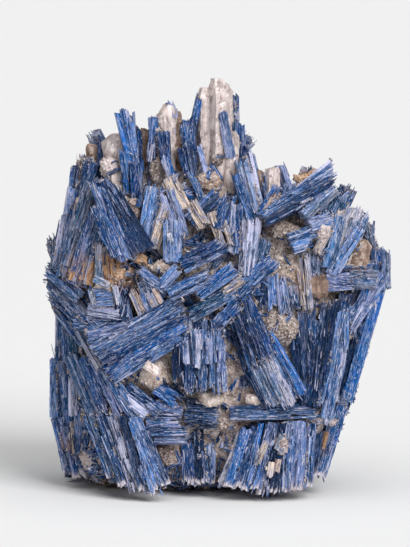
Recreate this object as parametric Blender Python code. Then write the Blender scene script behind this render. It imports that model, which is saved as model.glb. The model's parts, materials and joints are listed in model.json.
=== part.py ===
"""A cabinet specimen of bladed kyanite: blue laths grown through one another and through quartz.

The whole cluster grew as one piece, so it is one closed solid. Every crystal is a lath or a faceted
lump, laid out in millimetres as it is seen from the front and a little above, and all of them are
joined to the lumpy body of quartz that they grew in. The underside is trimmed flat to stand on.
"""

import math
import random
from collections import namedtuple

import bmesh
import bpy
from mathutils import Matrix, Vector, noise

MM = 0.001

# The front is laid out as seen from this far above the horizon.
VIEW_ELEVATION = math.radians(8)
TOWARDS_VIEWER = Vector((0, -math.cos(VIEW_ELEVATION), math.sin(VIEW_ELEVATION)))

# A place is (u, v, f): to the right of the middle, up from the foot as seen, and towards the viewer.
# A lath is wide at its tip. Fan is its root's share of that width, and cut is how far its tip's break
# rises for each mm to its right when its root is down.
Lath = namedtuple("Lath", "root tip wide thick roll tone fan cut", defaults=(1, 0))
Lump = namedtuple("Lump", "centre size tone")

# The body that carries the crystals, from the foot up: height, left, right, back and front, in mm.
BODY_RINGS = (
    (-4, -60, 40, -34, 2),
    (7, -69, 46, -42, 26),
    (22, -74, 53, -47, 32),
    (40, -75, 58, -49, 35),
    (62, -76, 65, -50, 36),
    (85, -77, 71, -48, 35),
    (104, -79, 75, -45, 33),
    (120, -75, 70, -41, 28),
    (134, -69, 56, -35, 22),
    (147, -61, 36, -28, 14),
    (158, -50, 16, -21, 8),
    (166, -40, 4, -14, 2),
)
RING_POINTS = 18
SQUARENESS = 2.6
BODY_RELIEF = 3.2

EDGE_SHARE = 0.78
WIDE_LATH = 8.5
STRIP_OVERLAP = 1.18
SHOULDER_AT = 0.82
POINT_SHARE = 0.34

CROWN = (
    Lath((-41, 156, 11), (-47.4, 188.4, 10), 6.8, 4.5, 12, "royal", 0.6, -0.1),
    Lath((-41, 160, 7), (-42.6, 189.5, 7), 3.6, 2.4, -20, "ice"),
    Lath((-40.4, 160, 12), (-43.6, 184.5, 10), 4, 3, 10, "blue", 0.8, -0.6),
    Lath((-45, 146, 15), (-46.6, 168.5, 13), 4.8, 3, 0, "royal", 0.5),
    Lath((-40, 141, 16), (-40.4, 162.5, 14), 6.8, 4.5, 8, "navy", 0.7),
    Lath((-38.4, 150, 9), (-39.2, 180.5, 7), 2.4, 2.4, 0, "royal"),
    Lath((-36, 148, 2), (-36, 179.5, 0), 5.8, 5, 0, "smoky"),
    Lath((-33.8, 150, 9), (-31.4, 185.5, 6), 4.8, 3.4, 0, "ice", 0.6),
    Lath((-25.6, 150, 5), (-25, 191, 2), 10.5, 8, 8, "quartz"),
    Lath((-25.6, 160, 11), (-26.6, 177.5, 8), 6, 4, 0, "navy", 0.8),
    Lath((-23.2, 170, 4), (-22.4, 193, 2), 4.4, 4, 0, "ice"),
    Lath((-17, 141, 6), (-19.8, 187.5, 1), 5.8, 5, 0, "smoky"),
    Lath((-12.4, 162, 8), (-15, 184.5, 5), 7.4, 4.5, -12, "blue", 0.7),
    Lath((-13, 155, 11), (-16, 169.5, 9), 7.6, 4.4, 0, "navy", 0.7, -0.3),
    Lath((-5, 150, 1), (-5.4, 199.5, -2), 9.4, 9, 0, "quartz"),
    Lath((1.2, 148, 3), (1.4, 204, 0), 12.5, 11, 8, "quartz"),
    Lath((-13, 172, 0), (-7.8, 197, -2), 4.8, 3, 0, "ice", 0.8),
    Lath((-11.4, 182, 3), (-8.8, 194, 1), 3.2, 3, 0, "royal"),
    Lath((7, 164, 7), (2.6, 188.5, 6), 4, 2.6, 0, "ice", 1.2),
    Lath((6.4, 146, 10), (8.4, 178, 3), 6.4, 5, 0, "quartz"),
    Lath((9, 168, 0), (8.6, 190, -3), 4.6, 4, 0, "frost"),
    Lath((9, 183, -2), (8.6, 197, -4), 4.4, 3.4, 0, "steel"),
    Lath((10.4, 158, 3), (9.8, 182.5, -1), 4.8, 3.6, 0, "navy", 0.5),
    Lath((14, 158, -5), (12, 183, -6), 3.2, 2.6, 0, "ice"),
    Lath((13.8, 154, -3), (14.4, 170.5, -4), 4, 3.6, 0, "navy"),
    Lath((21, 133, 21), (12.2, 167.5, 10), 9, 5.5, 10, "pale", 0.8, 0.2),
    Lath((21.4, 136, 17), (17, 162.5, 6), 3.4, 3, 0, "pale"),
    Lath((17, 132, 23), (9, 157, 15), 5.2, 3.4, 0, "blue", 1.2),
    Lath((-7, 142, 16), (-13.4, 157.5, 12), 4, 3, 0, "steel"),
    Lath((-5, 156, 12), (-10, 172, 9), 2.4, 2.4, 0, "ice"),
    Lath((-21, 149, 17), (-26, 165, 15), 5, 3.4, 0, "royal", 0.6),
)

CROWN_BEHIND = (
    Lath((-52, 140, -14), (-55, 168, -20), 8, 6, 20, "quartz"),
    Lath((-44, 142, -16), (-46, 178, -20), 7, 4.5, -30, "steel"),
    Lath((-36, 145, -12), (-40, 174, -16), 6, 4, 10, "blue"),
    Lath((-30, 143, -16), (-28, 181, -19), 8, 6, 30, "smoky"),
    Lath((-20, 145, -12), (-21, 180, -15), 6.5, 4, -15, "navy"),
    Lath((-10, 146, -14), (-12, 184, -17), 8.5, 7, 0, "quartz"),
    Lath((-2, 145, -12), (3, 188, -15), 7, 4.5, 25, "pale"),
    Lath((6, 142, -14), (8, 176, -20), 6.5, 4, -20, "blue"),
    Lath((14, 138, -12), (16, 158, -18), 7, 4.5, 10, "steel"),
    Lath((26, 132, -14), (29, 153, -20), 7, 5, 0, "smoky"),
    Lath((38, 126, -14), (43, 149, -18), 7.5, 4.5, 30, "navy"),
)

LEFT_SHOULDER = (
    Lath((-46, 140, 12), (-52.4, 176, 1), 11.5, 10, 0, "quartz"),
    Lath((-60.4, 148, 1), (-62, 171.5, -4), 7.6, 6, 0, "smoky"),
    Lath((-58.4, 154, 4), (-57.6, 173, 0), 3.4, 3, 0, "ink"),
    Lath((-67.6, 142, 1), (-67, 166, -5), 6.6, 6, 0, "beige"),
    Lath((-69.4, 138, 9), (-61.6, 164, 4), 7.4, 4.5, 0, "navy", 0.7, -0.3),
    Lath((-75.4, 128, 3), (-70.4, 160, -3), 5.4, 4, 0, "blue"),
    Lath((-77.6, 116, 8), (-71.6, 150, 3), 6, 4.4, 15, "sky"),
    Lath((-74, 112, 15), (-67, 146, 12), 4.4, 4, 0, "cream"),
    Lath((-79.6, 109, 8), (-74, 136, 6), 6.4, 4.4, 10, "pale"),
    Lath((-81.6, 107, 2), (-76.8, 133, -2), 4.6, 4, 0, "grey"),
    Lath((-75, 104, 18), (-62, 151, 18), 8.4, 5, 0, "grey", 1.2, -0.3),
    Lath((-69, 101, 23), (-58, 140, 25), 8, 5, 0, "violet", 1.2),
    Lath((-36.5, 117, 35), (-56.5, 154.5, 24), 13, 6.5, 10, "ink", 0.75, -0.8),
    Lath((-45, 113, 37), (-60.4, 152, 28), 9, 5, 0, "royal", 0.7, 0.2),
    Lath((-49, 115, 38), (-60.5, 141, 32), 6, 4, -8, "blue"),
    Lath((-63, 114, 24), (-56, 131, 27), 8, 5, 0, "teal"),
)

UPPER_MIDDLE = (
    Lath((-37, 118, 31), (-30, 151, 21), 8.8, 5, 0, "sky", 0.8, 0.2),
    Lath((-39, 139, 24), (-35, 152, 19), 3.4, 3.4, 0, "navy"),
    Lath((-16, 138, 27), (-24.4, 154, 21), 6.4, 4, 0, "cream", 1.2, 0.4),
    Lath((-31.4, 119, 33), (-25.6, 141, 28), 4.8, 3.6, 0, "cream"),
    Lath((-18, 124, 33), (-25, 148, 24), 8.6, 4.6, -10, "ice", 0.8),
    Lath((-22, 112, 37), (-22, 134, 32), 9.6, 5, 0, "sky", 0.9),
    Lath((-13, 141, 24), (-6, 129, 29), 7, 5, 0, "cream"),
    Lath((-3.6, 137, 27), (3, 119.6, 32), 4, 3, 0, "cream"),
    Lath((3, 133, 27), (7.4, 120.5, 32), 3.4, 3, 0, "cream"),
    Lath((14.4, 105, 37), (16.8, 134, 29), 9, 5, -14, "pale", 0.8),
    Lath((9, 116, 33), (9.6, 141, 24), 6, 4.4, 0, "navy"),
    Lath((-14, 132, 28), (1, 146, 21), 8, 4.6, 0, "ink"),
    Lath((1, 128, 29), (6, 146, 20), 7, 4.6, 0, "navy"),
    Lath((-17.6, 110.5, 38), (4, 121.5, 37), 8.4, 5, 10, "navy", 1, 0.3),
    Lath((19.4, 108, 34), (24.6, 124.5, 29), 5.6, 3.6, 0, "teal", 1.1),
)

RIGHT_WING = (
    Lath((20, 143, 6), (20, 158.5, 1), 7, 6, 0, "smoky"),
    Lath((27, 141, 10), (28, 160, 3), 7.6, 6, 0, "quartz"),
    Lath((22.8, 138, 13), (23.2, 157, 8), 2.4, 2.4, 0, "steel"),
    Lath((33, 139, 19), (36.6, 152.5, 11), 5.4, 3.6, 0, "blue"),
    Lath((22, 137, 25), (30, 150.5, 18), 4, 3.2, 0, "blue"),
    Lath((23, 136, 28), (29.6, 145.5, 23), 3.6, 2.8, 0, "beige"),
    Lath((30, 140, 25), (57.2, 161.5, 7), 3.6, 3.2, 0, "pale", 0.6, -0.5),
    Lath((21, 135, 31), (57.4, 157.5, 9), 7.4, 5.6, 12, "blue", 0.5, -0.5),
    Lath((24, 131.5, 32), (58, 151.5, 10), 9, 5.6, -6, "ink", 0.5, -0.5),
    Lath((42, 134.5, 25), (59, 148.5, 12), 6, 4.4, 0, "grey"),
    Lath((55.6, 132, 18), (62, 146.5, 9), 7.4, 5.4, 0, "teal"),
    Lath((58, 138, 13), (67, 147, 8), 4.2, 4, 0, "steel"),
    Lath((35, 123, 29), (48.4, 128.6, 23), 6.6, 4.6, 0, "blue"),
    Lath((37, 119, 29), (47, 122, 26), 5.4, 4, 0, "sky"),
    Lath((45, 130.5, 25), (57.5, 134.5, 18), 6.4, 4.6, 0, "ice"),
    Lath((49, 117, 27), (61.6, 138, 16), 4.4, 3.6, 0, "cream"),
    Lath((54, 109, 27), (61, 136.5, 18), 5.6, 3.8, 0, "teal"),
    Lath((60, 118, 18), (66.4, 140, 8), 8, 5.4, 0, "frost"),
    Lath((65, 119, 14), (72.2, 138.5, 4), 8.6, 6.4, 0, "frost", 1, -0.4),
    Lath((55, 106, 28), (71.4, 129, 18), 4.8, 3.6, 10, "sky"),
    Lath((59, 106, 24), (73.4, 130.5, 12), 5, 4, 0, "ink"),
    Lath((66, 103, 20), (71.6, 124, 11), 12, 7, 0, "smoky"),
    Lath((74.6, 104, 12), (73.6, 122, 8), 4.4, 4, 0, "cream"),
    Lath((79, 106, 3), (76.4, 125, 1), 5, 4.4, 0, "steel"),
    Lath((77.4, 119, 3), (73, 132.5, 0), 4.6, 4.4, 0, "grey"),
    Lath((79.8, 98, 3), (80.4, 120, -3), 6.6, 5, 0, "blue"),
    Lath((83.6, 99, 1), (83.8, 118.5, -4), 6, 4.4, 0, "grey", 1, -0.4),
)

LEFT_MIDDLE = (
    Lath((-63, 82, 32), (-83, 104, 7), 9, 6, 0, "grey"),
    Lath((-59, 78, 34), (-82, 97, 9), 9, 6, 0, "steel"),
    Lath((-65, 74, 28), (-79, 91, 9), 8, 5, 0, "blue"),
    Lath((-68, 95, 27), (-83.6, 108, 7), 6.6, 4.6, 0, "steel"),
    Lath((-74, 102, 18), (-83, 111.5, 5), 7.4, 5, 0, "grey"),
    Lath((-68, 102, 25), (-64, 117, 23), 10, 5, 0, "rust", 1.2),
    Lath((-50, 99, 32), (-52, 117, 29), 11, 5, 0, "rust", 0.8),
    Lath((-58, 102, 29), (-57, 122, 27), 6, 4.6, 0, "frost"),
    Lath((-62, 95, 34), (-50.6, 95.5, 36), 8.4, 5, 0, "sky"),
    Lath((-64, 89, 31), (-47, 86, 35), 6.4, 4.6, 0, "pale"),
    Lath((-49.6, 82, 35), (-44.4, 105, 34), 4.4, 4, 0, "ink", 1.3),
    Lath((-44, 82, 36), (-47, 99, 34), 5.4, 3.6, 0, "navy"),
    Lath((-36, 86.6, 38), (-42, 99.4, 36), 6, 4, 0, "beige"),
    Lath((-28.4, 89.5, 39), (-33.4, 98.6, 37), 6.4, 4, 0, "beige"),
    Lath((-30.6, 83, 39), (-37.6, 104, 36), 4.6, 3.4, 0, "navy"),
    Lath((-25, 98.5, 39), (-39, 109.5, 35), 4, 3.4, 0, "blue"),
    Lath((-25, 96.4, 39), (-37, 102.4, 37), 3.6, 3.4, 0, "grey"),
    Lath((-28, 100, 38), (-18.6, 111, 36), 6, 4, 0, "sky"),
    Lath((-71.6, 80.6, 30), (-46, 80.6, 36), 6.4, 4.6, 0, "steel"),
    Lath((-64, 75.4, 34), (-42, 81, 38), 5.4, 4.4, 0, "violet"),
)

MIDDLE = (
    Lath((-24, 95.6, 40), (-2, 106, 38), 7.4, 5, 0, "steel"),
    Lath((3, 92.6, 40), (28.8, 114, 34), 8, 5, 12, "blue"),
    Lath((-9, 96, 40), (10, 110.6, 38), 7, 4.4, 0, "royal", 0.8),
    Lath((-14, 86, 40), (9, 98.6, 40), 7, 5, 0, "teal"),
    Lath((-6, 74, 40), (10, 93, 38), 6.6, 4.6, 0, "blue"),
    Lath((3, 97.4, 41), (12.4, 104, 40), 3.8, 3.6, 0, "cream"),
    Lath((-62, 68.6, 35), (-17, 94, 41), 7.8, 5, 0, "steel"),
    Lath((-57, 63, 36), (-13, 88.6, 41), 7.8, 5, 8, "navy"),
    Lath((-55, 57.6, 37), (-15, 82.4, 41), 6.8, 5, -8, "royal", 0.9),
    Lath((-51.6, 54.4, 37), (-17, 77, 41), 7, 5, 0, "sky", 0.8),
    Lath((-18, 86, 38), (-18.8, 50.6, 44), 7.4, 5, 0, "ink", 0.9),
    Lath((-12, 86, 38), (-12.2, 46.6, 46), 8.2, 5.4, 0, "navy"),
    Lath((-5, 84, 38), (-5, 47.2, 47), 7.6, 5.4, 0, "steel"),
    Lath((0, 80, 37), (1.6, 47, 45), 7.4, 5.4, 14, "blue", 0.9),
    Lath((-5, 62, 46), (-6, 80, 42), 15, 4.4, 0, "sky", 0.9),
    Lath((8, 91.6, 35), (19, 59.6, 42), 12.5, 6.6, 0, "ink", 0.8, 0.2),
    Lath((12.6, 95, 35), (25.4, 64, 42), 9, 5.4, 0, "navy", 0.9),
    Lath((18, 67, 38), (29.6, 40.6, 43), 9, 5.4, 0, "grey"),
    Lath((23, 69, 38), (36, 40.6, 43), 8, 5.4, 0, "pale"),
    Lath((24, 77, 37), (42, 44.6, 42), 7.4, 5, 10, "royal", 1, 0.3),
    Lath((16, 61.6, 37), (26, 40.6, 41), 6.4, 4.6, 0, "blue"),
    Lath((15, 61, 32), (13.4, 49, 35), 5.4, 4.4, 0, "steel"),
    Lath((5.6, 37.6, 41), (50.6, 39.2, 36), 6.4, 5, 0, "steel"),
)

RIGHT = (
    Lath((43.6, 41.4, 37), (40.6, 88, 29), 13, 5.4, 0, "ink", 0.45, 0.5),
    Lath((48, 40.6, 38), (54.6, 94, 27), 14, 5.4, 0, "ink", 0.45, 0.3),
    Lath((64.4, 97, 25), (52, 42, 38), 6, 5.4, 0, "navy"),
    Lath((63.4, 88, 30), (53.8, 32.6, 39), 6.2, 5.4, 10, "sky"),
    Lath((82, 106, 10), (64.6, 79, 29), 7, 5, 0, "violet"),
    Lath((75, 101, 16), (63, 74, 31), 5.4, 4.4, 0, "blue"),
    Lath((65, 79, 28), (57.6, 43, 36), 3.4, 4, 0, "pale"),
    Lath((84, 107, -2), (63.2, 38, 11), 5.4, 5, 0, "royal"),
    Lath((78.6, 98, -3), (60.4, 37, 10), 9.4, 5, -20, "ink"),
    Lath((62.6, 44, 9), (50.4, 4.4, 22), 6.6, 5, 0, "blue"),
    Lath((54, 102.4, 27), (67.4, 103, 26), 8.6, 6, 0, "violet"),
    Lath((65, 103.6, 24), (79, 103.6, 16), 9.4, 6, 0, "grey"),
    Lath((57, 108.4, 25), (78.4, 110, 15), 3.6, 4, 0, "steel"),
    Lath((44.6, 100.6, 27), (56, 100, 29), 10.4, 7, 0, "smoky"),
    Lath((43.4, 88, 32), (40.4, 117, 25), 3, 3.4, 0, "cream"),
    Lath((46.4, 89, 32), (44.6, 116, 26), 2.8, 3.4, 0, "frost"),
    Lath((48, 105, 27), (48, 118.6, 21), 4.6, 3.6, 0, "grey"),
    Lath((52.4, 105, 26), (50.8, 119, 20), 4.6, 3.6, 0, "frost"),
    Lath((27.6, 105, 28), (28, 87.4, 34), 5.6, 4.4, 0, "royal"),
    Lath((31.4, 107, 28), (33.4, 86, 35), 5, 4.4, 0, "ice"),
    Lath((37.4, 101, 29), (38.4, 88, 34), 6.4, 4.4, 0, "steel"),
    Lath((20, 103, 28), (22, 89, 32), 8, 5, 0, "ink"),
)

LEFT_LOWER = (
    Lath((-80.4, 34, 3), (-80.8, 65, 2), 6.2, 5, 0, "sky"),
    Lath((-75, 45, 10), (-76.4, 63.4, 9), 6, 4.4, 0, "blue"),
    Lath((-78, 62, -1), (-77.6, 93, 0), 6, 4.4, 0, "steel"),
    Lath((-73.6, 62, 8), (-74.6, 90, 9), 6.6, 4.4, 0, "blue"),
    Lath((-70, 58, 16), (-71.4, 81, 15), 6.6, 4.6, 0, "teal"),
    Lath((-71, 36, 13), (-70.6, 58, 15), 6.4, 4.6, 0, "pale"),
    Lath((-69.4, 39, 12), (-68.2, 16.6, 12), 4.4, 4, 0, "sky"),
    Lath((-79.4, 35, 3), (-73.6, 7, 4), 7.6, 6, 0, "blue"),
    Lath((-75, 31, 7), (-68.4, 5, 7), 7, 6, 10, "navy"),
    Lath((-72, 33, 9), (-70.6, 17, 9), 3.4, 4, 0, "cream"),
    Lath((-72, 66, 17), (-60, 36, 28), 8.4, 5.4, 8, "teal", 0.8),
    Lath((-67, 65, 24), (-53.6, 36, 33), 8.4, 5.4, 0, "blue", 0.8),
    Lath((-61, 65, 30), (-46, 36, 37), 8.4, 5, 0, "violet", 0.8),
    Lath((-56, 60, 34), (-39, 34, 39), 7.4, 5, 0, "steel", 0.8),
    Lath((-67, 80, 26), (-55.4, 60, 33), 7.4, 5, 0, "frost"),
    Lath((-63.4, 38, 26), (-50.6, 6, 37), 7.4, 5.4, 0, "teal", 0.9),
    Lath((-57.6, 37, 31), (-45, 0.4, 41), 6.8, 5.4, 0, "steel", 0.9),
    Lath((-52, 37, 35), (-40, -1, 43), 7, 5.4, 8, "pale", 0.9),
    Lath((-46.4, 37, 38), (-34.6, -2, 45), 7, 5.4, -8, "ink", 0.9),
    Lath((-41.4, 36, 39), (-29, -3.6, 46), 7, 5.4, 0, "sky", 0.9),
    Lath((-36.4, 29, 40), (-26, 1, 45), 6.4, 5, 10, "royal", 0.9),
)

FOOT = (
    Lath((-35.6, 28.6, 38), (-14.6, 28.4, 40), 4.8, 4.4, 0, "blue"),
    Lath((-31, 24.4, 37), (-14.6, 24.6, 39), 4.4, 4.4, 0, "ice"),
    Lath((-35, 33.4, 37), (-16.6, 32.6, 40), 5, 4.4, 0, "violet"),
    Lath((-15.6, 39.4, 36), (1.6, 37.6, 40), 11.6, 6, 0, "steel"),
    Lath((-9, 32.6, 36), (9, 32, 38), 4.8, 4.4, 0, "grey"),
    Lath((-29.4, 50.6, 36), (-18.4, 42.4, 40), 7, 5.4, 0, "royal"),
    Lath((-45, 50.4, 36), (-27.6, 37, 40), 6.4, 4.6, 0, "blue"),
    Lath((-48, 46.6, 36), (-34, 36.6, 39), 5.4, 4.4, 0, "pale"),
    Lath((-30, 40, 37), (-16.6, 38, 39), 6, 4.4, 0, "violet"),
    Lath((-13.6, 23, 31), (-13, 1.6, 33), 8.4, 5.4, 0, "navy"),
    Lath((-9, 30, 33), (-8.6, 2.4, 35), 4.6, 4.4, 0, "ink"),
    Lath((-4.6, 22, 31), (-4.6, 1.6, 33), 6.6, 5.4, 0, "steel"),
    Lath((12.4, 28, 36), (1.6, 0.4, 41), 3.8, 4.4, 0, "frost"),
    Lath((15, 30, 37), (5.6, 0.4, 43), 6, 5, 0, "royal"),
    Lath((20, 31, 37), (11, -1, 44), 6.2, 5, 8, "navy"),
    Lath((24, 32, 38), (17, -2, 45), 6.2, 5, 0, "royal"),
    Lath((27.6, 33, 38), (22.6, -3.6, 45), 5.4, 5, -8, "cream"),
    Lath((31.4, 33, 38), (28, -2.4, 45), 6, 5, 0, "ink"),
    Lath((35.6, 34, 37), (34, -1.6, 43), 6, 5, 8, "blue"),
    Lath((40.6, 34, 36), (39, -1, 41), 6.6, 5, 0, "violet"),
    Lath((46, 33, 34), (43.6, 0, 38), 6.6, 5, 0, "sky"),
    Lath((50, 28, 28), (46.6, 4, 31), 5, 5, 0, "ink"),
)

LUMPS = (
    Lump((-4, 152, 12), (9, 7, 8), "beige"),
    Lump((0, 164, 8), (5, 4, 4.4), "smoky"),
    Lump((-30, 157, 10), (6, 5, 9), "smoky"),
    Lump((-53, 159, 8), (7, 6, 8), "quartz"),
    Lump((-41, 138, 23), (4.4, 4, 9), "beige"),
    Lump((-62, 14, 8), (9, 8, 9), "quartz"),
    Lump((-55, 6, 6), (8, 7, 8), "smoky"),
    Lump((-31, 58, 35), (11, 8, 10), "cream"),
    Lump((-24, 17, 31), (8, 7, 8), "beige"),
    Lump((-2, 20, 28), (7, 7, 7), "smoky"),
    Lump((-3, 45, 40), (9, 5, 5), "cream"),
    Lump((8, 54, 33), (6.4, 6, 13), "beige"),
    Lump((20, 44, 37), (7, 5, 6), "cream"),
    Lump((5, 33, 36), (8, 6, 6), "beige"),
    Lump((31, 80, 33), (11, 7, 11), "beige"),
    Lump((35, 106, 26), (7, 6, 8), "smoky"),
    Lump((33, 128, 21), (12, 7, 6), "smoky"),
    Lump((52, 128, 21), (7, 6, 7), "quartz"),
    Lump((43, 153, 7), (6, 6, 5), "rust"),
    Lump((49.4, 156, 4), (5, 5, 4.4), "quartz"),
    Lump((-48, 107, 30), (8, 6, 7), "rust"),
    Lump((-68, 108, 21), (8, 6, 6), "rust"),
    Lump((-38, 114, 32), (5, 4, 4), "rust"),
    Lump((-27, 109.4, 35), (8.4, 4.4, 4.6), "cream"),
    Lump((-57, 95, 32), (9, 5, 8), "cream"),
    Lump((48.4, 36.4, 35), (4, 4, 4), "quartz"),
    Lump((57.2, 33, 33), (3.4, 3.4, 3.4), "quartz"),
    Lump((32, 22, 42), (5, 4, 6), "quartz"),
    Lump((-46, 18, 27), (19, 11, 19), "beige"),
    Lump((25, 17, 31), (21, 9, 19), "beige"),
)

# The sides and back, which the front view hides, are clad by a rule with sprays of like laths.
CLAD_SEED = 11
CLAD_ROWS = ((15, 8), (37, 9), (60, 9), (83, 9), (105, 9), (125, 8), (143, 6), (156, 4))
CLAD_LENGTHS = (34, 62)
CLAD_WIDTHS = (6.5, 8.4)
CLAD_TONES = ("navy", "steel", "blue", "pale", "royal", "grey", "sky", "ink", "violet", "teal")
CLAD_LEAN = (1, 13)
FRONT_SHARE = 0.22
KEEP_SHARE = 0.57
MOST_MENDS = 8

TONE_COLOURS = {
    "kyanite_deep": (0.03, 0.09, 0.3, 1),
    "kyanite_pale": (0.22, 0.3, 0.52, 1),
    "quartz": (0.56, 0.47, 0.4, 1),
    "rust": (0.45, 0.22, 0.07, 1),
}
TONE_MATERIAL = {
    **dict.fromkeys(("ink", "navy", "royal", "blue", "steel", "teal"), "kyanite_deep"),
    **dict.fromkeys(("sky", "pale", "ice", "grey", "violet", "frost"), "kyanite_pale"),
    **dict.fromkeys(("quartz", "smoky", "beige", "cream"), "quartz"),
    "rust": "rust",
}
MATERIAL_ORDER = list(TONE_COLOURS)


def seen(place):
    """The point in the object's frame, in mm, that shows at (u, v) and lies f towards the viewer."""
    u, v, f = place
    height = (v + f * math.sin(VIEW_ELEVATION)) / math.cos(VIEW_ELEVATION)
    return Vector((u, -f, height))


def spread(index, salt):
    """A steady value from -1 to 1 that differs from one crystal to the next."""
    return 2 * math.modf(math.sin(index * 12.9898 + salt * 78.233) * 437.585)[0] % 2 - 1


def turned(root, tip, facing, roll):
    """Axes of a lath: across it, away from its flat face, and along it, as the columns of a matrix."""
    along = (tip - root).normalized()
    across = along.cross(facing).normalized()
    away = across.cross(along) * -1
    axes = Matrix((across, away, along)).transposed()
    return axes @ Matrix.Rotation(math.radians(roll), 3, "Z")


def add_lath(mesh, root, tip, facing, lath, index):
    """One flattened six-sided crystal from root to tip, its far end broken on a slant."""
    axes = turned(root, tip, facing, lath.roll)
    length = (tip - root).length
    made = bmesh.ops.create_cone(
        mesh, cap_ends=True, segments=6, radius1=1, radius2=0.94, depth=length
    )["verts"]
    slant = lath.cut + 0.3 * spread(index, 1)
    middle = (root + tip) / 2
    for vert in made:
        side, face, reach = vert.co
        if abs(face) > 0.1:
            side *= EDGE_SHARE / 0.5
        across = side * lath.wide / 2
        if reach > 0:
            reach += slant * across
        else:
            across *= lath.fan
        vert.co = middle + axes @ Vector((across, face * lath.thick / 1.73, reach))
    paint(made, lath.tone)


def paint(verts, tone):
    faces = {face for vert in verts for face in vert.link_faces}
    for face in faces:
        face.material_index = MATERIAL_ORDER.index(TONE_MATERIAL[tone])


def add_point(mesh, root, tip, facing, lath, index):
    """A quartz crystal: a six-sided prism that narrows to a blunt point at its free end."""
    shoulder = root.lerp(tip, SHOULDER_AT)
    stub = lath._replace(wide=lath.wide * 0.93, thick=lath.thick * 0.93)
    add_lath(mesh, root, shoulder, facing, lath, index)
    before = len(mesh.verts)
    add_lath(mesh, root.lerp(tip, SHOULDER_AT - 0.1), tip, facing, stub, index)
    mesh.verts.ensure_lookup_table()
    point = mesh.verts[before:]
    along = (tip - root).normalized()
    for vert in point:
        ahead = (vert.co - shoulder).dot(along)
        if ahead > 0:
            vert.co = tip.lerp(vert.co, POINT_SHARE) - along * (ahead - (tip - shoulder).length) * 0.4


def add_bundle(mesh, root, tip, facing, lath, index):
    """A narrow lath is one crystal. A wide one is two side by side, whose ends are not level."""
    if lath.tone in ("quartz", "smoky"):
        add_point(mesh, root, tip, facing, lath, index)
        return
    if lath.wide < WIDE_LATH:
        add_lath(mesh, root, tip, facing, lath, index)
        return
    across = turned(root, tip, facing, lath.roll).col[0]
    strip = lath._replace(wide=lath.wide / 2 * STRIP_OVERLAP)
    for hand in (-1, 1):
        aside = across * hand * lath.wide / 4
        length = (tip - root).length
        short = (tip - root) * (0.04 * (1 + spread(index, hand + 3)) - hand * lath.cut * lath.wide / 4 / length)
        lift = facing * 0.7 * spread(index, hand + 6)
        foot = root + aside * lath.fan + lift
        add_lath(mesh, foot, tip + aside + lift - short, facing, strip, index + hand)


def add_lump(mesh, lump, index):
    """A faceted mass of quartz: an icosahedron pushed out of true."""
    made = bmesh.ops.create_icosphere(mesh, subdivisions=1, radius=1)["verts"]
    centre = seen(lump.centre)
    size = Vector((lump.size[0], lump.size[1], lump.size[2]))
    for number, vert in enumerate(made):
        stretch = 1 + 0.16 * spread(index * 12 + number, 2)
        vert.co = centre + vert.co * size * stretch
    paint(made, lump.tone)


def ring_point(ring, turn):
    """A point on one ring of the body, on a squared oval."""
    height, left, right, back, front = ring
    middle = Vector(((left + right) / 2, -(back + front) / 2, height))
    power = 2 / SQUARENESS
    sine, cosine = math.sin(turn), math.cos(turn)
    side = math.copysign(abs(cosine) ** power, cosine) * (right - left) / 2
    depth = math.copysign(abs(sine) ** power, sine) * (front - back) / 2
    return middle + Vector((side, depth, 0))


def drift(point):
    """A push that changes smoothly from place to place."""
    return Vector([noise.noise(point + Vector((0, 0, 31.7 * axis))) for axis in range(3)])


def add_body(mesh):
    """The lumpy quartz that everything grew in: a loft through the rings, closed at both ends."""
    rings = []
    for ring in BODY_RINGS:
        verts = []
        for number in range(RING_POINTS):
            point = ring_point(ring, 2 * math.pi * number / RING_POINTS)
            point += drift(point / 17) * BODY_RELIEF
            verts.append(mesh.verts.new(point))
        rings.append(verts)
    for lower, upper in zip(rings, rings[1:]):
        for number in range(RING_POINTS):
            after = (number + 1) % RING_POINTS
            mesh.faces.new((lower[number], lower[after], upper[after], upper[number]))
    mesh.faces.new(reversed(rings[0]))
    mesh.faces.new(rings[-1])
    paint([vert for ring in rings for vert in ring], "beige")


def ring_at(height):
    """The body's ring at any height, between the two rings nearest it."""
    for lower, upper in zip(BODY_RINGS, BODY_RINGS[1:]):
        if lower[0] <= height <= upper[0]:
            share = (height - lower[0]) / (upper[0] - lower[0])
            return [a + (b - a) * share for a, b in zip(lower, upper)]
    return BODY_RINGS[-1]


def cladding():
    """Laths that lean out of the sides and back, as (root, tip, facing, lath)."""
    steady = random.Random(CLAD_SEED)
    placed = []
    for row, (height, count) in enumerate(CLAD_ROWS):
        ring = ring_at(height)
        for number in range(count * 2):
            turn = math.pi * (number + 0.5 * (row % 2)) / count
            point = ring_point(ring, turn)
            ahead = ring_point(ring, turn + 0.05)
            out = (ahead - point).cross(Vector((0, 0, 1))).normalized()
            level = Vector((0, 0, 1)).cross(out)
            slope = math.radians(steady.choice((35, 60, 75, 90, 110, 130, 150)) + steady.uniform(-9, 9))
            lean = math.radians(steady.uniform(*CLAD_LEAN))
            length = steady.uniform(*CLAD_LENGTHS)
            wide = steady.uniform(*CLAD_WIDTHS)
            tone = steady.choice(CLAD_TONES)
            if out.dot(TOWARDS_VIEWER) > FRONT_SHARE:
                continue
            run = level * math.cos(slope) + Vector((0, 0, 1)) * math.sin(slope)
            along = run * math.cos(lean) + out * math.sin(lean)
            start = point + out * 0.4 - along * length * 0.5
            start.z = max(start.z, 4)
            lath = Lath(None, None, wide, wide * 0.6, steady.uniform(-14, 14), tone)
            placed.append((start, start + along * length, out, lath))
    return placed


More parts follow.
